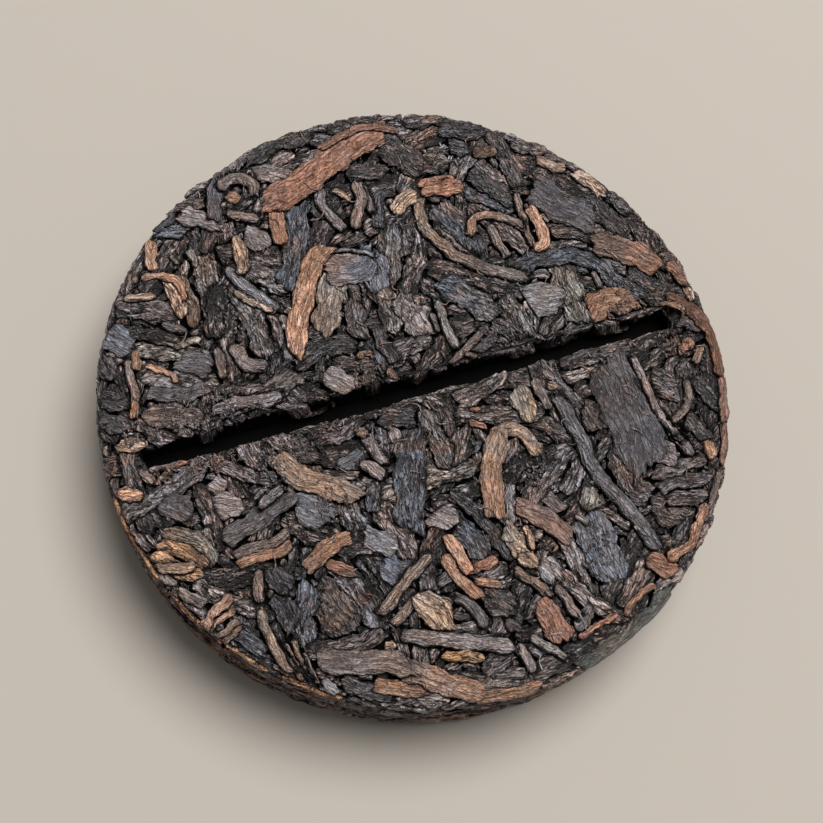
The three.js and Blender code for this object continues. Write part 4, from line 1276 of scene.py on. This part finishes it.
fasten(torn_fibres, stalk_skin)
fasten(leaf_crumbs, dark_skin)

# The wall.
# Leaves that stood against the ring of the mould lie along it, pressed into thin brown
# strands from under the upper edge down to the foot. They have no shine and no bloom.
WALL_BROWN = (0.192, 0.103, 0.0576)
WALL_RUST = (0.264, 0.132, 0.0696)
WALL_DARK = (0.098, 0.056, 0.0378)
WALL_TINTS = [WALL_BROWN, WALL_DARK, WALL_BROWN, WALL_RUST, WALL_DARK, RIM_RED, BROWN_BLACK, GREEN_GREY,
              DARK, WALL_BROWN, PURPLE_GREY]
WALL = dict(thickness=0.3, ridge_every=0.35, ridge=0.08, twist=0.03, ragged=0.16, crumple=0.12, edge=0.08,
            sharp=5)
WALL_FOOT = SKIN_REACH - 0.3
wall_leaves = Heap("wall_leaves", 0.3)
for count, length, width, least_shown in ((250, 8, 0.9, 0.35), (300, 4, 0.75, 0.3), (330, 1.8, 0.6, 0.3)):
    fill([wall_leaves], top_skin, TOP_EDGE, WALL_FOOT, count, length, width, WALL_TINTS, WALL, least_shown)
wall_skin = leaf_material("wall_leaf_skin", streaks=0.4, cracks=0.7, bloom_and_sheen=0, wrinkle=0.00035, gloss=0.06)
fasten(wall_leaves, wall_skin)

# The underside.
# The face that lay on the bottom plate of the press: the same leaves, flat and closed,
# without a groove.


def on_base(x, y, lift):
    """Lays flat places onto the lower face and round its edge."""
    reach = np.maximum(np.hypot(x, y), TINY)
    turn = np.clip((reach - FLAT_REACH) / EDGE_ROUNDING, 0, math.pi / 2)
    radial = np.where(reach > FLAT_REACH, FLAT_REACH + (EDGE_ROUNDING + lift) * np.sin(turn), reach)
    height = EDGE_ROUNDING - (EDGE_ROUNDING + lift) * np.cos(turn)
    return x / reach * radial, -y / reach * radial, height


base_skin = Skin(CAKE_RADIUS + 1.5, on_base)
BASE_EDGE = EDGE_REACH - 0.5
base_leaves = [Heap("underside_leaves_%d" % number, 0.2) for number in (1, 2)]
for count, length, width, form in ((190, 7.5, 2.2, TWIST), (300, 4, 1.5, LUMP), (420, 2, 1, LUMP)):
    fill(base_leaves, base_skin, 0, BASE_EDGE, count, length, width, FILL_TINTS, form)
for heap in base_leaves:
    fasten(heap, dark_skin)

# The light, the floor and the camera.
# A pale table, one large soft lamp from the upper right of the view and a weak even fill.
# The camera stands where the photo was taken from.
FLOOR_COLOUR = (0.19, 0.173, 0.153, 1)
FLOOR_ROUGHNESS = 0.9
FLOOR_HALF = 0.6
CAMERA_AZIMUTH = math.radians(-33.822)
CAMERA_ELEVATION = math.radians(68.274)
CAMERA_ROLL = math.radians(16.392)
CAMERA_DISTANCE = 0.1
CAMERA_TARGET = Vector((-0.001278, -0.001760, 0.0076))
CAMERA_LENS = 56.44
CAMERA_NEAR = 0.005
SENSOR = 36
LAMP_HEADING = math.radians(27.5)
LAMP_ELEVATION = math.radians(68)
LAMP_DISTANCE = 0.9
LAMP_SIZE = 0.65
LAMP_WATTS = 23.5
LAMP_COLOUR = (1.0, 0.985, 0.965)
ROOM_COLOUR = (1.0, 0.97, 0.93, 1)
ROOM_STRENGTH = 0.5

bm = bmesh.new()
bmesh.ops.create_grid(bm, x_segments=1, y_segments=1, size=FLOOR_HALF)
floor_mesh = bpy.data.meshes.new("table")
bm.to_mesh(floor_mesh)
bm.free()
floor = placed(floor_mesh, "table")
floor_finish = bpy.data.materials.new("pale_table")
floor_finish.use_nodes = True
floor_shader = floor_finish.node_tree.nodes["Principled BSDF"]
floor_shader.inputs["Base Color"].default_value = FLOOR_COLOUR
floor_shader.inputs["Roughness"].default_value = FLOOR_ROUGHNESS
floor.data.materials.append(floor_finish)


def direction(heading, elevation):
    level = math.cos(elevation)
    return Vector((math.cos(heading) * level, math.sin(heading) * level, math.sin(elevation)))


def looking(place, target, roll=0.0):
    """Stands at a place and faces a target, rolled about the line of sight."""
    turn = (place - target).to_track_quat("Z", "Y").to_matrix().to_4x4()
    return Matrix.Translation(place) @ turn @ Matrix.Rotation(roll, 4, "Z")


lamp_data = bpy.data.lights.new("soft_lamp", "AREA")
lamp_data.shape = "DISK"
lamp_data.size = LAMP_SIZE
lamp_data.energy = LAMP_WATTS
lamp_data.color = LAMP_COLOUR
lamp = bpy.data.objects.new("soft_lamp", lamp_data)
bpy.context.collection.objects.link(lamp)
lamp.matrix_world = looking(direction(LAMP_HEADING, LAMP_ELEVATION) * LAMP_DISTANCE, Vector((0, 0, 0)))

world = bpy.data.worlds.new("room")
world.use_nodes = True
room_light = world.node_tree.nodes["Background"]
room_light.inputs["Color"].default_value = ROOM_COLOUR
room_light.inputs["Strength"].default_value = ROOM_STRENGTH
bpy.context.scene.world = world
bpy.context.scene.view_settings.view_transform = "Standard"

camera_data = bpy.data.cameras.new("camera")
camera_data.lens = CAMERA_LENS
camera_data.sensor_width = SENSOR
camera_data.clip_start = CAMERA_NEAR
camera = bpy.data.objects.new("camera", camera_data)
bpy.context.collection.objects.link(camera)
back = direction(CAMERA_AZIMUTH - math.pi / 2, CAMERA_ELEVATION)
camera.matrix_world = looking(CAMERA_TARGET + back * CAMERA_DISTANCE, CAMERA_TARGET, CAMERA_ROLL)
bpy.context.scene.camera = camera
